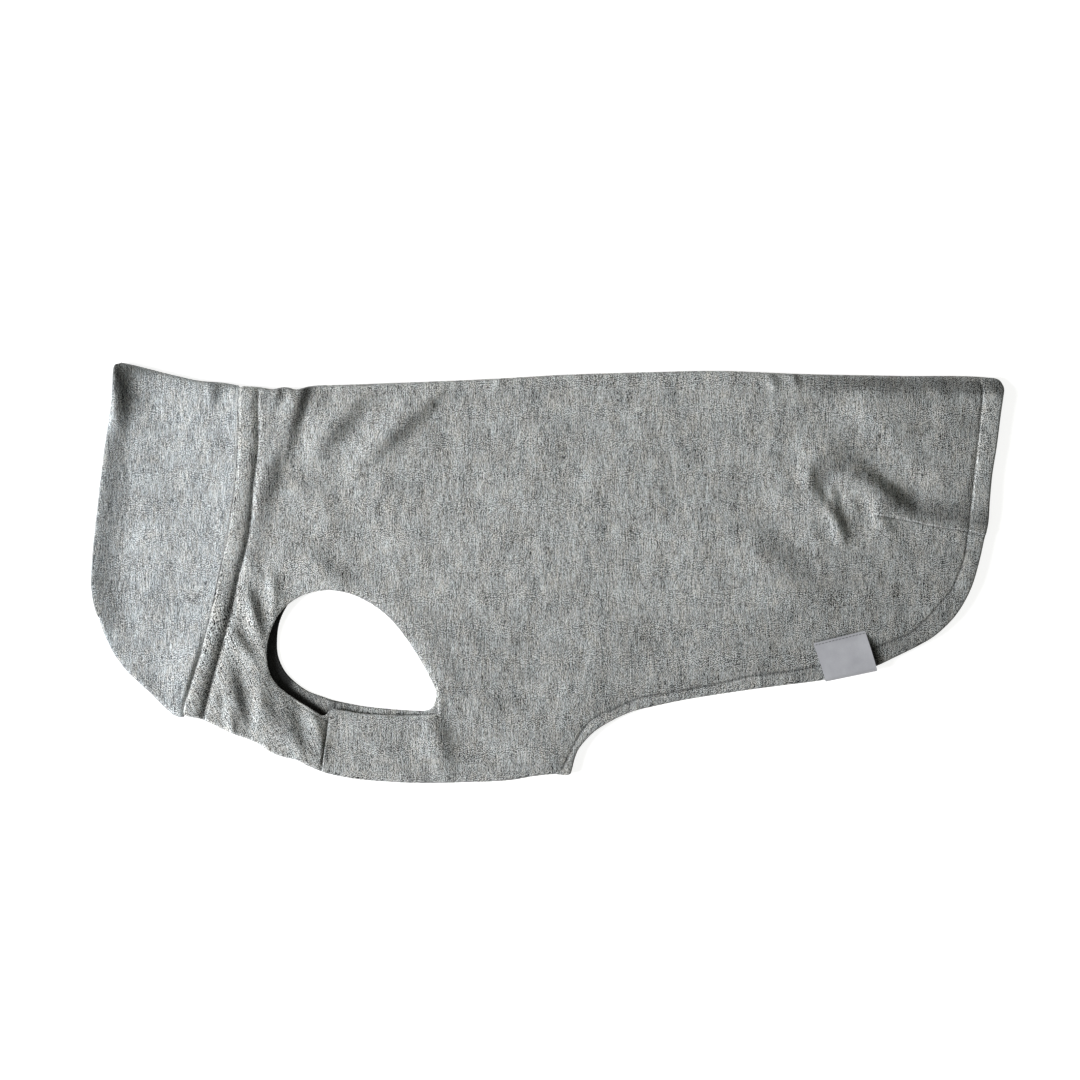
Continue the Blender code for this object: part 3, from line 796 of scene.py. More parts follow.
def fold_shade(points, table):
    """How much of the light is left between the folds of a table; each one swells from its ends."""
    left = np.ones(len(points))
    for deep in table:
        path = smooth_path(spots(*deep[:6]), 2.0)
        reach = 2.6 * deep.width
        close = np.all((points > path.min(0) - reach) & (points < path.max(0) + reach), axis=1)
        near = nearest(points[close], path)
        swell = np.sin(math.pi * np.clip(near.along / (2.0 * (len(path) - 1)), 0.0, 1.0))
        left[close] *= 1.0 - deep.loss * swell**1.3 * bump(near.distance, deep.width * (0.6 + 0.4 * swell))
    return left


print("deep folds:", len(fold_and_label_shadows), "on the body and", len(collar_folds), "on the collar")

# %% [markdown]
# ## Shade of the body, part by part
#
# Rows of stitches, the neck, the free edges, the armhole and the broad stretches that turn away each
# have a function that gives a share of the light. They are multiplied together, as layers of thin shadow
# are.


# %% Shade of each part of the body
def near_stitches(points, hem_line, neck_line):
    """Painted shade: each stitch sinks in its ditch, so a row of them is a dotted dark line."""
    y = points[:, 1]
    hem_pits = 0.5 + 0.5 * np.cos(2.0 * math.pi * hem_line.along / STITCH_PITCH)
    neck_pits = 0.5 + 0.5 * np.cos(2.0 * math.pi * neck_line.along / STITCH_PITCH)
    flat_part = 1.0 - soft_step((y - 5.0) / 40.0)
    neck_depth = 0.1 + 0.25 * soft_step((20.0 - y) / 80.0)
    past_stitches = -neck_line.side * neck_line.distance
    dark = bump(hem_line.distance, 0.75) * (0.08 + flat_part * (0.22 + 0.5 * hem_pits))
    dark += bump(neck_line.distance, 0.8) * neck_depth * (0.7 + 0.6 * neck_pits)
    dark += 0.58 * bump(past_stitches + 1.35, 1.3) * (1.0 - soft_step((y - 42.0) / 40.0))
    return 1.0 - np.minimum(dark, 0.9)


def near_neck(points, neck_line):
    """The band beside the collar catches a little more light, and the cloth just behind it less."""
    y = points[:, 1]
    past_stitches = -neck_line.side * neck_line.distance
    behind = soft_step((past_stitches - 1.0) / 2.6) * (1.0 - soft_step((past_stitches - 8.0) / 9.0))
    behind *= 0.05 + 0.22 * soft_step((y - 4.0) / 26.0)
    lit = (neck_line.side > 0.0) * (0.02 + 0.11 * soft_step((y + 10.0) / 25.0))
    lit += 0.2 * np.exp(-nearest(points, neck).distance / 0.8)
    return (1.0 - behind) * (1.0 + lit)


def near_edges(points, hem_line):
    """Painted shade where the hem and the belly turn away from the lamp, a painted highlight on the back's
    folded rim.
    """
    x, y = points.T
    in_hem = hem_line.side > 0.0
    round_hem = in_hem * soft_step((x - 180.0) / 20.0) * (1.0 - soft_step((y + 16.0) / 14.0))
    upright_hem = soft_step((y - 8.0) / 25.0) * (x > 200.0)
    at_rim = (0.08 + 0.34 * upright_hem) * np.exp(-nearest(points, hem).distance / 2.2)
    at_belly = 0.17 * np.exp(-nearest(points, belly).distance / 1.3)
    over_hem = 0.10 * bump(hem_line.distance - 3.5, 4.0) * ~in_hem * (x < 150.0)
    lit_back = np.exp(-nearest(points, back).distance / 0.55)
    return (1.0 - at_rim - 0.13 * round_hem) * (1.0 - at_belly) * (1.0 - over_hem) * (1.0 + lit_back)


def near_armhole(points):
    """Painted highlight where the armhole's rim faces the lamp at its tail side and curls up towards it at
    the back corner.
    """
    x, y = points.T
    from_rim = nearest(points, closed(armhole)).distance
    tail_rim = bump(np.hypot(x + 73.0, y + 52.0), 15.0)
    curl = soft_step((x + 84.0) / 6.0) * soft_step((-66.0 - y) / 5.0)
    lit = 0.5 * tail_rim * bump(from_rim, 2.2) + 0.3 * curl * bump(from_rim - 1.2, 1.1)
    # Painted shade in a thin line just behind the curl.
    return 1.0 + lit - 0.28 * curl * bump(from_rim - 3.0, 0.6)


def near_dart(points):
    """Painted shade: the cloth above the dart falls away from the lamp, and the dart and the chest seam are
    dark lines.
    """
    dart = nearest(points, dart_line)
    above = (dart.side > 0.0) * soft_step(dart.along / 14.0)
    above *= soft_step((dart.distance - 1.4) / 5.5) * (1.0 - soft_step((dart.distance - 7.0) / 17.0))
    in_dart = soft_step(dart.along / 5.0) * bump(dart.distance, 0.55)
    in_chest = bump(nearest(points, chest_line).distance, 0.6)
    return (1.0 - 0.46 * above) * (1.0 - 0.25 * in_dart) * (1.0 - 0.45 * in_chest)


def broad_shade(points, hem_line):
    """The back rolls away near the tail, and the light falls slowly towards the tail and the belly."""
    x, y = points.T
    from_back = nearest(points, back).distance
    uneven = 1.3 * np.sin(x / 6.3) + 1.1 * np.sin(x / 2.9 + 1.0)
    back_strip = soft_step((x - 126.0) / 70.0) * (1.0 - soft_step((from_back - 7.3 - uneven) / 7.0))
    low_tail = soft_step((x - 105.0) / 75.0) * soft_step((46.0 - y) / 44.0)
    low_middle = soft_step((x + 165.0) / 50.0) * soft_step((2.0 - y) / 60.0)
    tail_end = soft_step((x - 195.0) / 40.0) * soft_step((y - 20.0) / 30.0) * (hem_line.side < 0.0)
    slow = (1.0 - 0.17 * low_tail) * (1.0 - 0.11 * low_middle) * (1.0 - 0.12 * tail_end)
    return (1.0 - 0.42 * back_strip) * slow


# %% Shade of the whole body
def body_shade(points):
    """The share of light at each point of the upper layer."""
    hem_line = nearest(points, hem_stitches)
    neck_line = nearest(points, neck_stitches)
    share = near_stitches(points, hem_line, neck_line) * near_neck(points, neck_line)
    share *= near_edges(points, hem_line) * near_armhole(points) * near_dart(points)
    return share * broad_shade(points, hem_line) * fold_shade(points, fold_and_label_shadows)


def lower_shade(points):
    """Painted shadow in the armhole's lower layer: dark under the front of the hole and in its seam, open
    along the belly.
    """
    x, y = points.T
    from_overhang = (x + 141.0) * 0.584 + (y + 78.2) * 0.811
    under_overhang = soft_step((0.6 - from_overhang) / 2.0) * (x < -125.0)
    deep = np.maximum(soft_step((-150.0 - x) / 6.0), under_overhang)
    in_seam = bump(nearest(points, lower_seam).distance, 0.95)
    front = soft_step((-108.0 - x) / 14.0)
    return (1.0 - 0.93 * deep) * (1.0 - 0.85 * in_seam) * (1.0 - 0.42 * front)


def shirt_shade(points, z):
    """The shade of every point of the body, from its place in plan and its height in millimetres."""
    in_hole = np.all(np.abs(points - (-116.0, -47.0)) < (55.0, 46.0), axis=1)
    lower_top = in_hole & (z > 0.3) & (z < 2.2)
    from_above = soft_step((z - 1.2) / 2.0)
    return np.where(lower_top, lower_shade(points), 1.0 + (body_shade(points) - 1.0) * from_above)


# %% [markdown]
# ## The body's mesh
#
# The layers are filled more finely round the creases, so that their slopes stay smooth, and coarsely
# elsewhere. The neck is a cut edge that meets the collar, so it is nearly square; the hem and the
# armhole are rounder.

# %% Make the body
Box = namedtuple("Box", "x1 y1 x2 y2")
SQUARE_EDGE = 0.03          # radius of a cut edge that meets another piece
upper_boxes = [
    Box(-215.0, -115.0, -130.0, 0.0),
    Box(-180.0, 20.0, -60.0, 112.0),
    Box(140.0, 10.0, 235.0, 95.0),
]
lower_boxes = [Box(-172.0, -92.0, -60.0, -66.0), Box(-172.0, -92.0, -140.0, -8.0)]
upper_seams = [neck_stitches, hem_stitches, chest_line, dart_line, label_top, label_side]
upper_loops = [loop_from(neck, back, hem, belly), armhole]
lower_loops = [loop_from(neck, back, lower_hem, belly), lower_armhole]
body_upper = fill_layer(upper_loops, EDGE_ROWS, upper_seams, 2.3, upper_boxes, 1.7)
body_lower = fill_layer(lower_loops, LOWER_ROWS, [lower_seam], 6.0, lower_boxes, 1.7)
body_heights = (body_upper_z, body_wall, body_lower_z, body_wall)
neck_edge = RoundEdge(neck, SQUARE_EDGE)
upper_edges = [neck_edge, RoundEdge(hem, 1.1), RoundEdge(closed(armhole), 0.4)]
lower_edges = [neck_edge, RoundEdge(lower_hem, 1.1), RoundEdge(closed(lower_armhole), 0.8)]
body = cloth_tube("shirt_body", body_upper, body_lower, body_heights, (back, belly),
                  (upper_edges, lower_edges), body_grain, shirt_shade)

# %% [markdown]
# ## The collar
#
# The collar is a high band of doubled cloth, folded at its free end, so it is thicker and stands up in a
# soft roll there. It meets the body in a plain seam.

# %% Edges of the collar
collar_neck = smooth_path(neck_seam, EDGE_STEP) - (SEAM_GAP, 0.0)
throat = smooth_path(np.vstack([collar_neck[:1], throat_edge[1:]]), EDGE_STEP)
free_end = smooth_path(free_edge, EDGE_STEP)
nape = smooth_path(np.vstack([nape_edge[:-1], collar_neck[-1:]]), EDGE_STEP)


# %% Height of the collar's layers
def collar_flat(points):
    """Top of the collar before it rolls over at the nape and the throat."""
    edge = nearest(points, free_end).distance
    seam = nearest(points, collar_neck).distance
    hollow = 1.0 - soft_step((-25.0 - points[:, 1]) / 50.0)
    top = COLLAR_TOP + 0.6 * wave_height(points) + crease_height(points, collar_creases)
    top += COLLAR_RIM * np.exp(-((edge / 13.0) ** 1.5)) * (0.45 + 0.55 * hollow)
    top += COLLAR_RISE * np.exp(-seam / 22.0)
    top += (SEAM_LEVEL - top) * bump(seam, 1.5)
    return at_least(top, COLLAR_LOWEST)


def collar_upper_z(points):
    wide = rolled(nearest(points, nape).distance / NAPE_ROLL)
    share = np.minimum(wide, rolled(nearest(points, throat).distance / COLLAR_FOLD))
    return COLLAR_FOLD + (collar_flat(points) - COLLAR_FOLD) * share


def collar_lower_z(points):
    return COLLAR_FOLD * (1.0 - rolled(beside(points, nape, throat) / COLLAR_FOLD))


def collar_wall(points):
    return np.full(len(points), DOUBLED)


# %% Shade of the collar
pleat_path = smooth_path(spots(-259.0, 126.0, -254.5, 110.0, -249.0, 86.0), 2.0)


def free_edge_shade(points):
    """Painted highlight on the crest of the free edge's roll; painted shade behind it, under it and near
    the throat.
    """
    edge = nearest(points, free_end).distance
    low_share = soft_step((6.0 - points[:, 1]) / 30.0)
    behind = (0.34 - 0.1 * low_share) * bump(edge - 7.5, 8.0 - 2.5 * low_share)
    crest = (0.34 - 0.7 * low_share) * np.exp(-edge / 1.5)
    underside = (0.75 - 0.45 * low_share) * np.exp(-edge / 0.35)
    return (1.0 - behind) * (1.0 + crest - underside)


def collar_shade(points):
    """1 in the open, painted shade in the pleat at the nape's corner and along the edges that turn under.
    """
    pleat_line = nearest(points, pleat_path)
    pleat = bump(pleat_line.distance, 2.3 + 0.13 * pleat_line.along)
    pleat *= 1.0 - soft_step((pleat_line.along - 12.0) / 28.0)
    under = np.exp(-nearest(points, throat).distance / 1.7)
    y = points[:, 1]
    # Painted shade, a little darker towards the throat end.
    lower = 0.05 * soft_step((95.0 - y) / 90.0) + 0.06 * soft_step((5.0 - y) / 60.0)
    from_seam = nearest(points, collar_neck).distance
    # Painted highlights along the seam and along the nape.
    lit_seam = 1.0 + 0.36 * bump(from_seam - 0.7, 1.0) + 0.06 * bump(from_seam - 4.0, 3.0)
    lit_nape = 1.0 + 0.35 * np.exp(-nearest(points, nape).distance / 0.55)
    dark = (1.0 - lower) * (1.0 - 0.6 * pleat) * (1.0 - 0.45 * under) * fold_shade(points, collar_folds)
    return dark * free_edge_shade(points) * lit_nape * lit_seam


def collar_all_round(points, z):
    """The collar's shade on its upper layer, and a plain one on the wall that faces the lamp."""
    facing = 1.0 - 0.5 * np.exp(-nearest(points, free_end).distance / 0.8)
    return facing + (collar_shade(points) - facing) * soft_step((z - 2.0) / 2.0)


# %% Make the collar
collar_loop = loop_from(throat, free_end, nape, collar_neck[::-1])
collar_upper = fill_layer([collar_loop], EDGE_ROWS, [], 2.0)
collar_lower = fill_layer([collar_loop], LOWER_ROWS, [], 6.0)
collar_edges = [RoundEdge(free_end, 0.9), RoundEdge(collar_neck, SQUARE_EDGE)]
collar_heights = (collar_upper_z, collar_wall, collar_lower_z, collar_wall)
collar = cloth_tube("shirt_collar", collar_upper, collar_lower, collar_heights, (nape, throat),
                    (collar_edges, collar_edges), lambda plan: plan, collar_all_round)

# %% [markdown]
# ## The label
#
# A short ribbon is folded over the hem and held by one row of small stitches across its top. It stands a
# little off the cloth, so it is drawn as a strip that follows the hem and then turns back underneath.

# %% Make the label
LABEL_WIDTH = 30.9
LABEL_LENGTH = 23.9
RIBBON = 0.42
label_corners = spots(159.3, -42.6, 190.1, -35.0, 197.5, -59.3, 166.8, -65.7)
label_across = label_corners[1] - label_corners[0]
label_across = label_across / np.linalg.norm(label_across)
label_turn = math.atan2(label_across[1], label_across[0])
label_centre = label_corners.mean(0)
LeafSpot = namedtuple("LeafSpot", "outward height")
top_leaf = [
    LeafSpot(-11.9, 0.30),
    LeafSpot(-10.9, 0.22),
    LeafSpot(-10.2, 0.24),
    LeafSpot(-8.0, 0.55),
    LeafSpot(-4.0, 1.00),
    LeafSpot(0.0, 1.20),
    LeafSpot(4.0, 1.25),
    LeafSpot(8.0, 1.15),
]
turn_at_hem = [
    LeafSpot(10.6, 0.75),
    LeafSpot(11.6, 0.0),
    LeafSpot(11.75, -0.9),
    LeafSpot(11.3, -1.75),
    LeafSpot(10.0, -2.25),
]
under_leaf = [LeafSpot(7.0, -2.35), LeafSpot(2.0, -2.35), LeafSpot(-9.0, -2.35)]


def label_place(across, outward):
    """A plan point from its place across the label and out from the middle, between its four corners."""
    right = (across / LABEL_WIDTH + 0.5)[:, None]
    down = (outward / LABEL_LENGTH + 0.5)[:, None]
    top_left, top_right, low_right, low_left = label_corners
    return ((1 - right) * ((1 - down) * top_left + down * low_left)
            + right * ((1 - down) * top_right + down * low_right))


def thick_sheet(name, rows, thickness):
    """A closed sheet from a grid of points on its middle surface."""
    rows = np.asarray(rows)
    along = np.gradient(rows, axis=0)
    sideways = np.gradient(rows, axis=1)
    normals = np.cross(along, sideways)
    normals /= np.linalg.norm(normals, axis=2)[:, :, None]
    points = np.vstack([(rows + normals * thickness / 2.0).reshape(-1, 3),
                        (rows - normals * thickness / 2.0).reshape(-1, 3)])
    tall, wide = rows.shape[:2]
    ids = np.arange(tall * wide).reshape(tall, wide)
    faces = []
    for i in range(tall - 1):
        for j in range(wide - 1):
            quad = [ids[i, j], ids[i + 1, j], ids[i + 1, j + 1], ids[i, j + 1]]
            faces += [quad, [k + tall * wide for k in quad[::-1]]]
    rim = np.concatenate([ids[:-1, 0], ids[-1, :-1], ids[:0:-1, -1], ids[0, :0:-1]])
    for near, far in zip(rim, np.roll(rim, -1)):
        faces.append([near + tall * wide, far + tall * wide, far, near])
    return new_piece(name, points, faces)


leaf = smooth_path(np.array(top_leaf + turn_at_hem + under_leaf), 0.6)
aside = np.linspace(-LABEL_WIDTH / 2.0, LABEL_WIDTH / 2.0, 21)
hem_level = float(body_flat(label_centre[None, :] + (0.5, -2.0))[0])
label_rows = []
for outward, height in leaf:
    plan = label_place(aside, np.full(len(aside), outward))
    lift = 1.2 + 1.2 * aside / LABEL_WIDTH if height > 0.3 else np.ones(len(aside))
    label_rows.append(np.column_stack([plan, hem_level + height * lift]))
label = thick_sheet("hem_label", label_rows, RIBBON)
print("label stands on", round(hem_level, 2), "mm")

# %% [markdown]
# ## Stitches
#
# A machine's topstitch is the same short loop of thread again and again along a line. Geometry Nodes
# repeat it: the line becomes a curve, points are set out at the stitch pitch, and a small bent thread
# goes on each.


# %% Build the node tree for a row of stitches
def add_node(tree, kind, settings=None, inputs=None):
    """A node with its settings first, then the values or links of its sockets."""
    node = tree.nodes.new(kind)
    for name, value in (settings or {}).items():
        setattr(node, name, value)
    for key, value in (inputs or {}).items():
        if isinstance(value, bpy.types.NodeSocket):
            tree.links.new(value, node.inputs[key])
        else:
            node.inputs[key].default_value = value
    return node


stitch_tree = bpy.data.node_groups.new("row_of_stitches", "GeometryNodeTree")
stitch_tree.interface.new_socket("Geometry", in_out="INPUT", socket_type="NodeSocketGeometry")
for socket_name in ("Pitch", "Stitch Length", "Thread Radius", "Arch"):
    stitch_tree.interface.new_socket(socket_name, in_out="INPUT", socket_type="NodeSocketFloat")
stitch_tree.interface.new_socket("Thread", in_out="INPUT", socket_type="NodeSocketMaterial")
stitch_tree.interface.new_socket("Geometry", in_out="OUTPUT", socket_type="NodeSocketGeometry")
given = stitch_tree.nodes.new("NodeGroupInput").outputs


def tree_product(value, factor):
    """A given size of the stitch, multiplied by a number."""
    product = add_node(stitch_tree, "ShaderNodeMath", {"operation": "MULTIPLY"}, {0: value, 1: factor})
    return product.outputs[0]


def tree_point(inputs):
    """A point, from the numbers given for its axes."""
    return add_node(stitch_tree, "ShaderNodeCombineXYZ", {}, inputs).outputs[0]


sunk = tree_product(given["Arch"], -1.0)
start = tree_point({"X": tree_product(given["Stitch Length"], -0.5), "Z": sunk})
crown = tree_point({"Z": given["Arch"]})
end = tree_point({"X": tree_product(given["Stitch Length"], 0.5), "Z": sunk})
bent = add_node(stitch_tree, "GeometryNodeCurveQuadraticBezier", {},
                {"Resolution": 5, "Start": start, "Middle": crown, "End": end})
ring = add_node(stitch_tree, "GeometryNodeCurvePrimitiveCircle", {},
                {"Resolution": 6, "Radius": given["Thread Radius"]})
thread = add_node(stitch_tree, "GeometryNodeCurveToMesh", {},
                  {"Curve": bent.outputs[0], "Profile Curve": ring.outputs[0], "Fill Caps": True})
line = add_node(stitch_tree, "GeometryNodeMeshToCurve", {}, {"Mesh": given["Geometry"]})
places = add_node(stitch_tree, "GeometryNodeCurveToPoints", {"mode": "LENGTH"},
                  {"Curve": line.outputs[0], "Length": given["Pitch"]})
facing = add_node(stitch_tree, "FunctionNodeAlignRotationToVector", {"axis": "X", "pivot_axis": "Z"},
                  {"Vector": places.outputs["Tangent"]})
row = add_node(stitch_tree, "GeometryNodeInstanceOnPoints", {},
               {"Points": places.outputs["Points"], "Instance": thread.outputs[0],
                "Rotation": facing.outputs[0]})
real = add_node(stitch_tree, "GeometryNodeRealizeInstances", {}, {"Geometry": row.outputs[0]})
coloured = add_node(stitch_tree, "GeometryNodeSetMaterial", {},
                    {"Geometry": real.outputs[0], "Material": given["Thread"]})
add_node(stitch_tree, "NodeGroupOutput", {}, {"Geometry": coloured.outputs[0]})
print("stitch tree has", len(stitch_tree.nodes), "nodes")


# %% Sew a row of stitches
THREAD_ARCH = 0.12


def set_input(modifier, name, value):
    """Set a modifier's input by the identifier of the socket that has this name."""
    for item in modifier.node_group.interface.items_tree:
        if item.item_type == "SOCKET" and item.in_out == "INPUT" and item.name == name:
            modifier[item.identifier] = value


def sew(name, paths, thread_material, length, radius, pitch=STITCH_PITCH):
    """One piece with a row of stitches along each path, a list of 3-D points in millimetres."""
    points = np.vstack(paths)
    edges = []
    first = 0
    for path in paths:
        edges += [(first + i, first + i + 1) for i in range(len(path) - 1)]
        first += len(path)
    mesh = bpy.data.meshes.new(name + "_line")
    mesh.from_pydata((points * MM).tolist(), edges, [])
    holder = bpy.data.objects.new(name + "_line", mesh)
    bpy.context.scene.collection.objects.link(holder)
    modifier = holder.modifiers.new("stitches", "NODES")
    modifier.node_group = stitch_tree
    sizes = {"Pitch": pitch, "Stitch Length": length, "Thread Radius": radius, "Arch": THREAD_ARCH}
    for socket_name, value in sizes.items():
        set_input(modifier, socket_name, value * MM)
    set_input(modifier, "Thread", thread_material)
    evaluated = holder.evaluated_get(bpy.context.evaluated_depsgraph_get())
    sewn = bpy.data.meshes.new_from_object(evaluated)
    sewn.name = name
    sewn.shade_smooth()
    piece = bpy.data.objects.new(name, sewn)
    bpy.context.scene.collection.objects.link(piece)
    bpy.data.objects.remove(holder, do_unlink=True)
    print(name, "has", len(sewn.polygons), "faces")
    return piece


# %% [markdown]
# ## Shader maths as expressions
#
# A material is a small calculation for each point of the surface. Wrapping a socket in a class lets it be
# written as such, with the nodes added behind the scenes.


# %% Wrap shader sockets
class Wire:
    """A number carried by a shader socket."""

    def __init__(self, shader, socket):
        self.shader = shader
        self.socket = socket

    def maths(self, operation, left, right):
        return self.shader.number("ShaderNodeMath", {"operation": operation}, {0: left, 1: right})

    def __add__(self, other):
        return self.maths("ADD", self, other)

    def __radd__(self, other):
        return self.maths("ADD", other, self)

    def __sub__(self, other):
        return self.maths("SUBTRACT", self, other)

    def __rsub__(self, other):
        return self.maths("SUBTRACT", other, self)

    def __mul__(self, other):
        return self.maths("MULTIPLY", self, other)

    def __rmul__(self, other):
        return self.maths("MULTIPLY", other, self)

    def clipped(self, low, high):
        return self.maths("MINIMUM", self.maths("MAXIMUM", self, low), high)


class Shader:
    """A material's node tree, with one method that adds any node."""

    def __init__(self, name):
        self.material = bpy.data.materials.new(name)
        self.material.use_nodes = True
        self.tree = self.material.node_tree
        self.surface = self.tree.nodes["Principled BSDF"]

    def node(self, kind, settings=None, inputs=None):
        plain = {}
        for key, value in (inputs or {}).items():
            plain[key] = value.socket if isinstance(value, Wire) else value
        return add_node(self.tree, kind, settings, plain)

    def mixed(self, factor, first, second, **settings):
        """A colour between two others, or another blend of them."""
        settings = {"data_type": "RGBA", **settings}
        return self.node("ShaderNodeMix", settings, {"Factor": factor, 6: first, 7: second}).outputs[2]

    def number(self, kind, settings=None, inputs=None, output=0):
        return Wire(self, self.node(kind, settings, inputs).outputs[output])

    def finish(self, **values):
        for key, value in values.items():
            name = key.replace("_", " ").title().replace("Ior", "IOR")
            if isinstance(value, Wire):
                value = value.socket
            if isinstance(value, bpy.types.NodeSocket):
                self.tree.links.new(value, self.surface.inputs[name])
            else:
                self.surface.inputs[name].default_value = value
        return self.material


# %% [markdown]
# ## Grey melange jersey
#
# The yarn is spun from pale and dark fibres together, so the knit shows short streaks of light and dark
# along its wales, never one flat grey. Each size of streak is a noise stretched along the grain that the
# UV map keeps. A table holds their sizes, and one sum of them is the tone between the yarn's dark and
# its pale colour.

# %% A table of the streaks in the yarn, in millimetres
Streak = namedtuple("Streak", "across along detail shift stagger weight")
long_streak = Streak(0.34, 10.0, 1.0, 3.1, 4.0, 1.40)
short_streak = Streak(0.30, 2.6, 1.0, 17.7, 0.0, 1.25)
fibre = Streak(0.30, 0.62, 0.0, 41.3, 0.0, 2.50)
smudge = Streak(3.60, 10.0, 1.0, 29.3, 0.0, 0.16)
pool = Streak(9.00, 30.0, 1.0, 5.9, 0.0, 0.36)
loose_fibre = Streak(0.30, 6.0, 0.0, 53.9, 0.0, 3.40)
fine_tint = Streak(1.60, 5.0, 1.0, 77.0, 0.0, 0.6)
broad_tint = Streak(7.00, 16.0, 1.0, 91.0, 0.0, 0.4)
stagger_of_ends = Streak(1.00, 60.0, 0.0, 63.1, 0.0, 1.0)
WALE_WAVE = 16.0            # the wave texture has about 20 bands to its unit, so the wales are 0.8 mm apart
COOL = (0.95, 1.0, 1.03, 1.0)
WARM = (1.05, 1.0, 0.94, 1.0)


# %% Make the jersey material
def stretched(shader, cloth, across, along, offset):
    """The place on the cloth, divided by the size of a streak and moved by an offset of its own."""
    size = (1.0 / (across * MM), 1.0 / (along * MM), 1.0)
    scaled = shader.node("ShaderNodeVectorMath", {"operation": "MULTIPLY"}, {0: cloth, 1: size}).outputs[0]
    return shader.node("ShaderNodeVectorMath", {"operation": "ADD"}, {0: scaled, 1: offset}).outputs[0]


def streaks(shader, cloth, streak, seed):
    """A noise from 0 to 1 of one row of the table; stagger keeps long streaks from ending in line."""
    place = stretched(shader, cloth, streak.across, streak.along, (streak.shift, seed, 0.0))
    if streak.stagger:
        how_far = streak.stagger * streaks(shader, cloth, stagger_of_ends, seed)
        slide = shader.node("ShaderNodeCombineXYZ", {}, {"Y": how_far}).outputs[0]
        place = shader.node("ShaderNodeVectorMath", {"operation": "ADD"}, {0: place, 1: slide}).outputs[0]
    return shader.number("ShaderNodeTexNoise", {"noise_dimensions": "2D"},
                         {"Vector": place, "Scale": 1.0, "Detail": streak.detail, "Roughness": 0.6})


def melange(name, pale, dark, streak_gain, seed):
    """Jersey spun from pale and dark fibres; a higher gain shows the streaks more."""
    shader = Shader(name)
    cloth = shader.node("ShaderNodeUVMap", {"uv_map": "cloth"}).outputs[0]
    long_streaks = streaks(shader, cloth, long_streak, seed)
    short_streaks = streaks(shader, cloth, short_streak, seed)
    tone = 0.5 + long_streak.weight * streak_gain * (long_streaks - 0.5)
    tone = tone + short_streak.weight * streak_gain * (short_streaks - 0.5)
    for streak in (fibre, smudge, pool):
        tone = tone + streak.weight * streak_gain * (streaks(shader, cloth, streak, seed) - 0.5)
    loose = streaks(shader, cloth, loose_fibre, seed)
    tone = tone + loose_fibre.weight * ((loose - 0.64).clipped(0.0, 1.0) - (0.36 - loose).clipped(0.0, 1.0))
    colour = shader.mixed(tone.clipped(0.0, 1.8), dark, pale, clamp_factor=False)
    tint = fine_tint.weight * streaks(shader, cloth, fine_tint, seed)
    tint = tint + broad_tint.weight * streaks(shader, cloth, broad_tint, seed)
    cool = shader.mixed((3.2 * (tint - 0.46)).clipped(0.0, 1.0), colour, COOL, blend_type="MULTIPLY")
    warm = shader.mixed((3.2 * (0.52 - tint)).clipped(0.0, 1.0), cool, WARM, blend_type="MULTIPLY")
    # The shade attribute multiplies in the painted shade and painted highlights kept on the cloth.
    shade = shader.number("ShaderNodeAttribute", {"attribute_name": "shade"}, output="Fac")
    shaded = shader.mixed(1.0, warm, shade, blend_type="MULTIPLY")
    wale = shader.number("ShaderNodeTexWave", {"wave_type": "BANDS", "bands_direction": "X"},
                         {"Vector": stretched(shader, cloth, WALE_WAVE, WALE_WAVE, (0.0, seed, 0.0)),
                          "Scale": 1.0, "Distortion": 0.6, "Detail Scale": 1.0}, output=1)
    height = 0.5 * long_streaks + 0.5 * short_streaks + 0.25 * wale
    relief = shader.node("ShaderNodeBump", {}, {"Strength": 0.4, "Distance": 0.25 * MM, "Height": height})
    print(name, "has", len(shader.tree.nodes), "nodes")
    return shader.finish(base_color=shaded, roughness=0.92 - 0.1 * long_streaks, normal=relief.outputs[0],
                         sheen_weight=0.12, sheen_roughness=0.5, specular_ior_level=0.25)


body_pale = (0.352, 0.360, 0.355, 1.0)
body_dark = (0.0, 0.0, 0.0, 1.0)
# The collar's pale is lighter than the body's, partly its own colour and partly painted light for the neck
# end, which stands nearer the lamp.
collar_pale_and_painted_light = (0.439, 0.458, 0.463, 1.0)
collar_dark = (0.030, 0.033, 0.037, 1.0)
body_jersey = melange("body_jersey", body_pale, body_dark, 4.2, 0.0)
collar_jersey = melange("collar_jersey", collar_pale_and_painted_light, collar_dark, 2.1, 9.0)
body.data.materials.append(body_jersey)
collar.data.materials.append(collar_jersey)


# %% [markdown]
# ## Thread and ribbon
#
# The thread is a plain grey polyester; its very dark grey is partly painted shade for the holes it sinks
# into. The ribbon is a pale satin, so it is smoother, has a faint weave and catches the light a little;
# its slow lighter and darker patches are painted sheen. It is left bare.

# %% Make the thread and ribbon materials
thread_shader = Shader("grey_thread_with_painted_shade")
place = thread_shader.node("ShaderNodeTexCoord").outputs["Object"]
twist = thread_shader.number("ShaderNodeTexNoise", {}, {"Vector": place, "Scale": 4000.0, "Detail": 1.0})
# Very dark grey: the thread's own grey with painted shade for its holes.
thread_colour_with_painted_shade = thread_shader.mixed(twist, (0.05, 0.052, 0.054, 1.0), (0.12, 0.123, 0.127, 1.0))
grey_thread_with_painted_shade = thread_shader.finish(base_color=thread_colour_with_painted_shade, roughness=0.7, specular_ior_level=0.3)

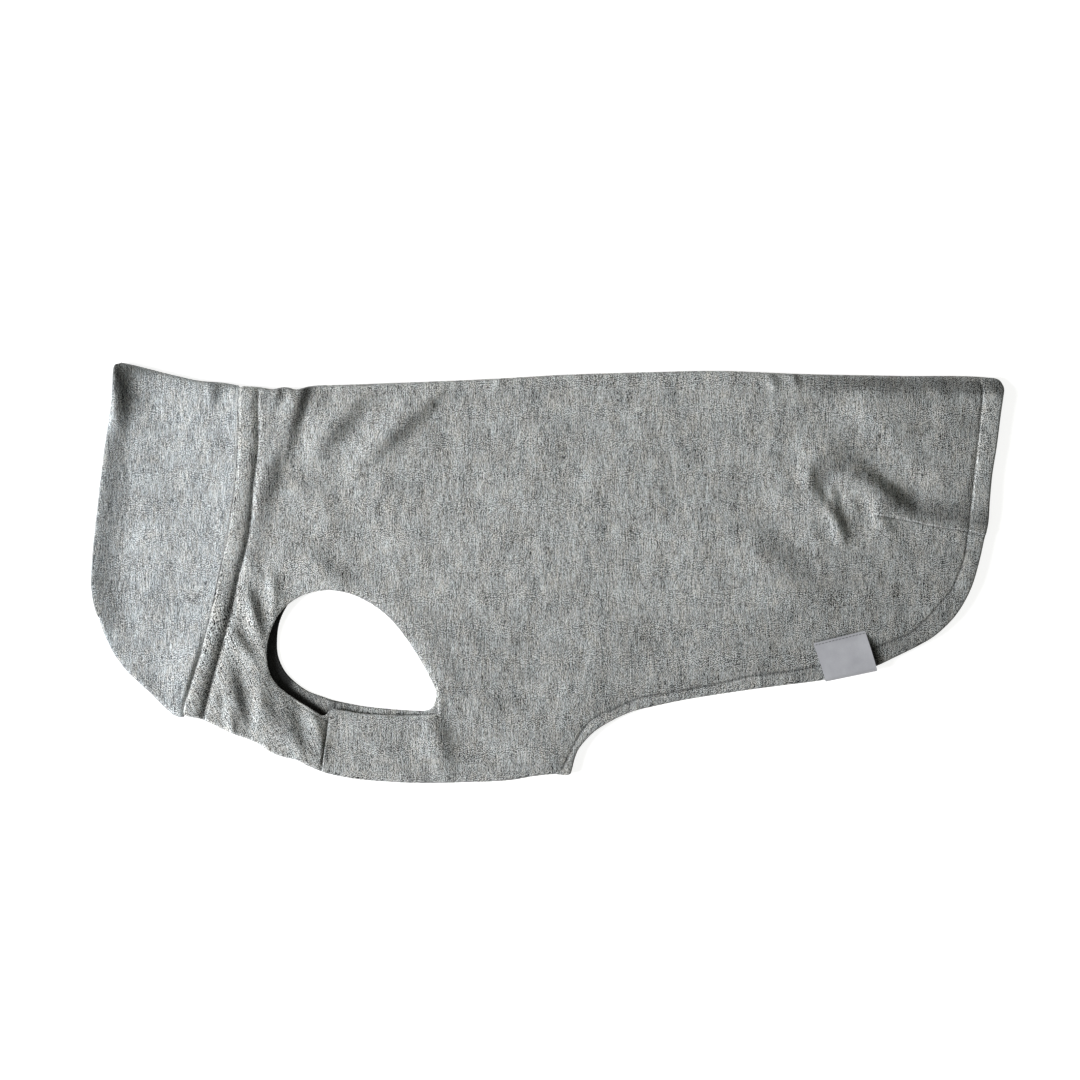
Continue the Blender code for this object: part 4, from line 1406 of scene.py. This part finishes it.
ribbon_shader = Shader("satin_ribbon")
place = ribbon_shader.node("ShaderNodeTexCoord").outputs["Object"]
turning = ribbon_shader.node("ShaderNodeMapping", {},
                             {"Vector": place, "Rotation": (0.0, 0.0, -label_turn)})
turned = turning.outputs[0]
RIBBON_THREADS = (900.0, 4200.0, 1.0)
threads = ribbon_shader.node("ShaderNodeVectorMath", {"operation": "MULTIPLY"},
                             {0: turned, 1: RIBBON_THREADS})
woven = ribbon_shader.number("ShaderNodeTexNoise", {},
                             {"Vector": threads.outputs[0], "Scale": 1.0, "Detail": 1.0})
# Painted sheen: slow lighter and darker patches in the ribbon's colour.
sheen_patches = ribbon_shader.number("ShaderNodeTexNoise", {},
                                     {"Vector": turned, "Scale": 110.0, "Detail": 2.0})
ribbon_tone = (0.5 + 1.6 * (sheen_patches - 0.5) + 0.9 * (woven - 0.5)).clipped(0.0, 1.0)
ribbon_colour = ribbon_shader.mixed(ribbon_tone, (0.285, 0.287, 0.312, 1.0), (0.375, 0.377, 0.402, 1.0))
weave = ribbon_shader.node("ShaderNodeBump", {}, {"Strength": 0.25, "Distance": 0.1 * MM, "Height": woven})
satin_ribbon = ribbon_shader.finish(base_color=ribbon_colour, roughness=0.48, normal=weave.outputs[0],
                                    sheen_weight=0.1)
label.data.materials.append(satin_ribbon)


# %% Sew the stitches
THREAD_SINK = 0.02          # the thread lies this deep in the upper layer's ditch
THREAD_RISE = 0.1           # and stays inside the lower layer's ditch, over the surface
LABEL_PITCH = 1.95
LABEL_STITCHES = 24         # points along the label's line of stitches


def on_top(path):
    return np.column_stack([path, body_flat(path) - THREAD_SINK])


def underneath(path):
    return np.column_stack([path, body_lower_z(path) + THREAD_RISE])


from_label = (hem_stitches - label_centre) @ label_across
beyond_left = hem_stitches[from_label < -LABEL_WIDTH / 2.0 - 0.5]
beyond_right = hem_stitches[from_label > LABEL_WIDTH / 2.0 + 0.5]
upper_rows = [on_top(neck_stitches[2:-3]), on_top(beyond_left[:-3]), on_top(beyond_right[3:])]
under_rows = [underneath(neck_stitches[3:-4]), underneath(hem_stitches[4:-5])]
body_stitches = sew("body_topstitching", upper_rows + under_rows, grey_thread_with_painted_shade, 1.75, 0.16)
label_aside = np.linspace(-LABEL_WIDTH / 2.0 + 1.2, LABEL_WIDTH / 2.0 - 1.2, LABEL_STITCHES)
label_line = label_place(label_aside, np.full(LABEL_STITCHES, -10.6))
stitch_level = hem_level + 0.22 + RIBBON / 2.0 + 0.05
label_row = np.column_stack([label_line, np.full(LABEL_STITCHES, stitch_level)])
label_stitches = sew("label_stitching", [label_row], grey_thread_with_painted_shade, 1.3, 0.18, pitch=LABEL_PITCH)

# %% [markdown]
# ## The table
#
# The shirt lies on a pale table. A little light of its own keeps the table an even white all round the
# shirt, as a lit table does, and it lies a hair under the cloth so that the two never share a plane.

# %% Lay the table
TABLE_REACH = 15.0
TABLE_LEVEL = -0.0003
table_corners = [(-TABLE_REACH, -TABLE_REACH, TABLE_LEVEL), (TABLE_REACH, -TABLE_REACH, TABLE_LEVEL),
                 (TABLE_REACH, TABLE_REACH, TABLE_LEVEL), (-TABLE_REACH, TABLE_REACH, TABLE_LEVEL)]
floor_mesh = bpy.data.meshes.new("floor")
floor_mesh.from_pydata(table_corners, [], [(0, 1, 2, 3)])
floor = bpy.data.objects.new("floor", floor_mesh)
bpy.context.scene.collection.objects.link(floor)
floor_shader = Shader("pale_table")
pale_table = floor_shader.finish(base_color=(0.5, 0.5, 0.5, 1.0), roughness=0.9, specular_ior_level=0.1,
                                 emission_color=(1.0, 1.0, 1.0, 1.0), emission_strength=0.8)
floor.data.materials.append(pale_table)
print("table reaches", TABLE_REACH, "m to each side")

# %% [markdown]
# ## Light and camera
#
# One soft lamp stands low at the neck end, so that its light grazes the cloth and draws every crease. A
# weak light from all round fills the shadows. The camera looks straight down, as one does at a shirt on
# a table.


# %% Set up the lamp and the room
def soft_light(name, place, target, size, power, colour):
    """A round area lamp that points at a target."""
    lamp = bpy.data.lights.new(name, "AREA")
    lamp.shape = "DISK"
    lamp.size = size
    lamp.energy = power
    lamp.color = colour
    holder = bpy.data.objects.new(name, lamp)
    bpy.context.scene.collection.objects.link(holder)
    holder.location = place
    holder.rotation_euler = (Vector(target) - Vector(place)).to_track_quat("-Z", "Y").to_euler()


soft_light("soft_lamp", (-2.019, -0.356, 0.83), (0.0, 0.0, 0.0), 1.0, 130.0, (0.99, 1.0, 1.02))
world = bpy.data.worlds.new("pale_room")
world.use_nodes = True
background = world.node_tree.nodes["Background"].inputs
background["Color"].default_value = (1.0, 1.0, 0.90, 1.0)
background["Strength"].default_value = 0.27
bpy.context.scene.world = world
bpy.context.scene.view_settings.view_transform = "Standard"

# %% Hang the camera over the shirt
CAMERA_HEIGHT = 1.404
CLOTH_LEVEL = 0.004
VIEW_WIDTH = 0.648          # width of the view at the level of the cloth
SENSOR = 36.0
camera_data = bpy.data.cameras.new("camera")
camera_data.sensor_width = SENSOR
camera_data.lens = SENSOR * (CAMERA_HEIGHT - CLOTH_LEVEL) / VIEW_WIDTH
camera = bpy.data.objects.new("camera", camera_data)
camera.location = (-0.0048, 0.0193, CAMERA_HEIGHT)
bpy.context.scene.collection.objects.link(camera)
bpy.context.scene.camera = camera
print("lens:", round(camera_data.lens, 1), "mm")

# %% [markdown]
# ## Tie the pieces to the frame
#
# Each piece stands for its CAD solid and rides on the shirt's one body.

Tie = namedtuple("Tie", "piece node slot")
ties = [
    Tie(body, "body", "body_jersey"),
    Tie(collar, "collar", "collar_jersey"),
    Tie(label, "label", "ribbon"),
]
for tie in ties:
    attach(tie.piece, ROOT)
    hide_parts(tie.node)
for piece, slot in ((body_stitches, "body_jersey"), (label_stitches, "ribbon")):
    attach(piece, ROOT)
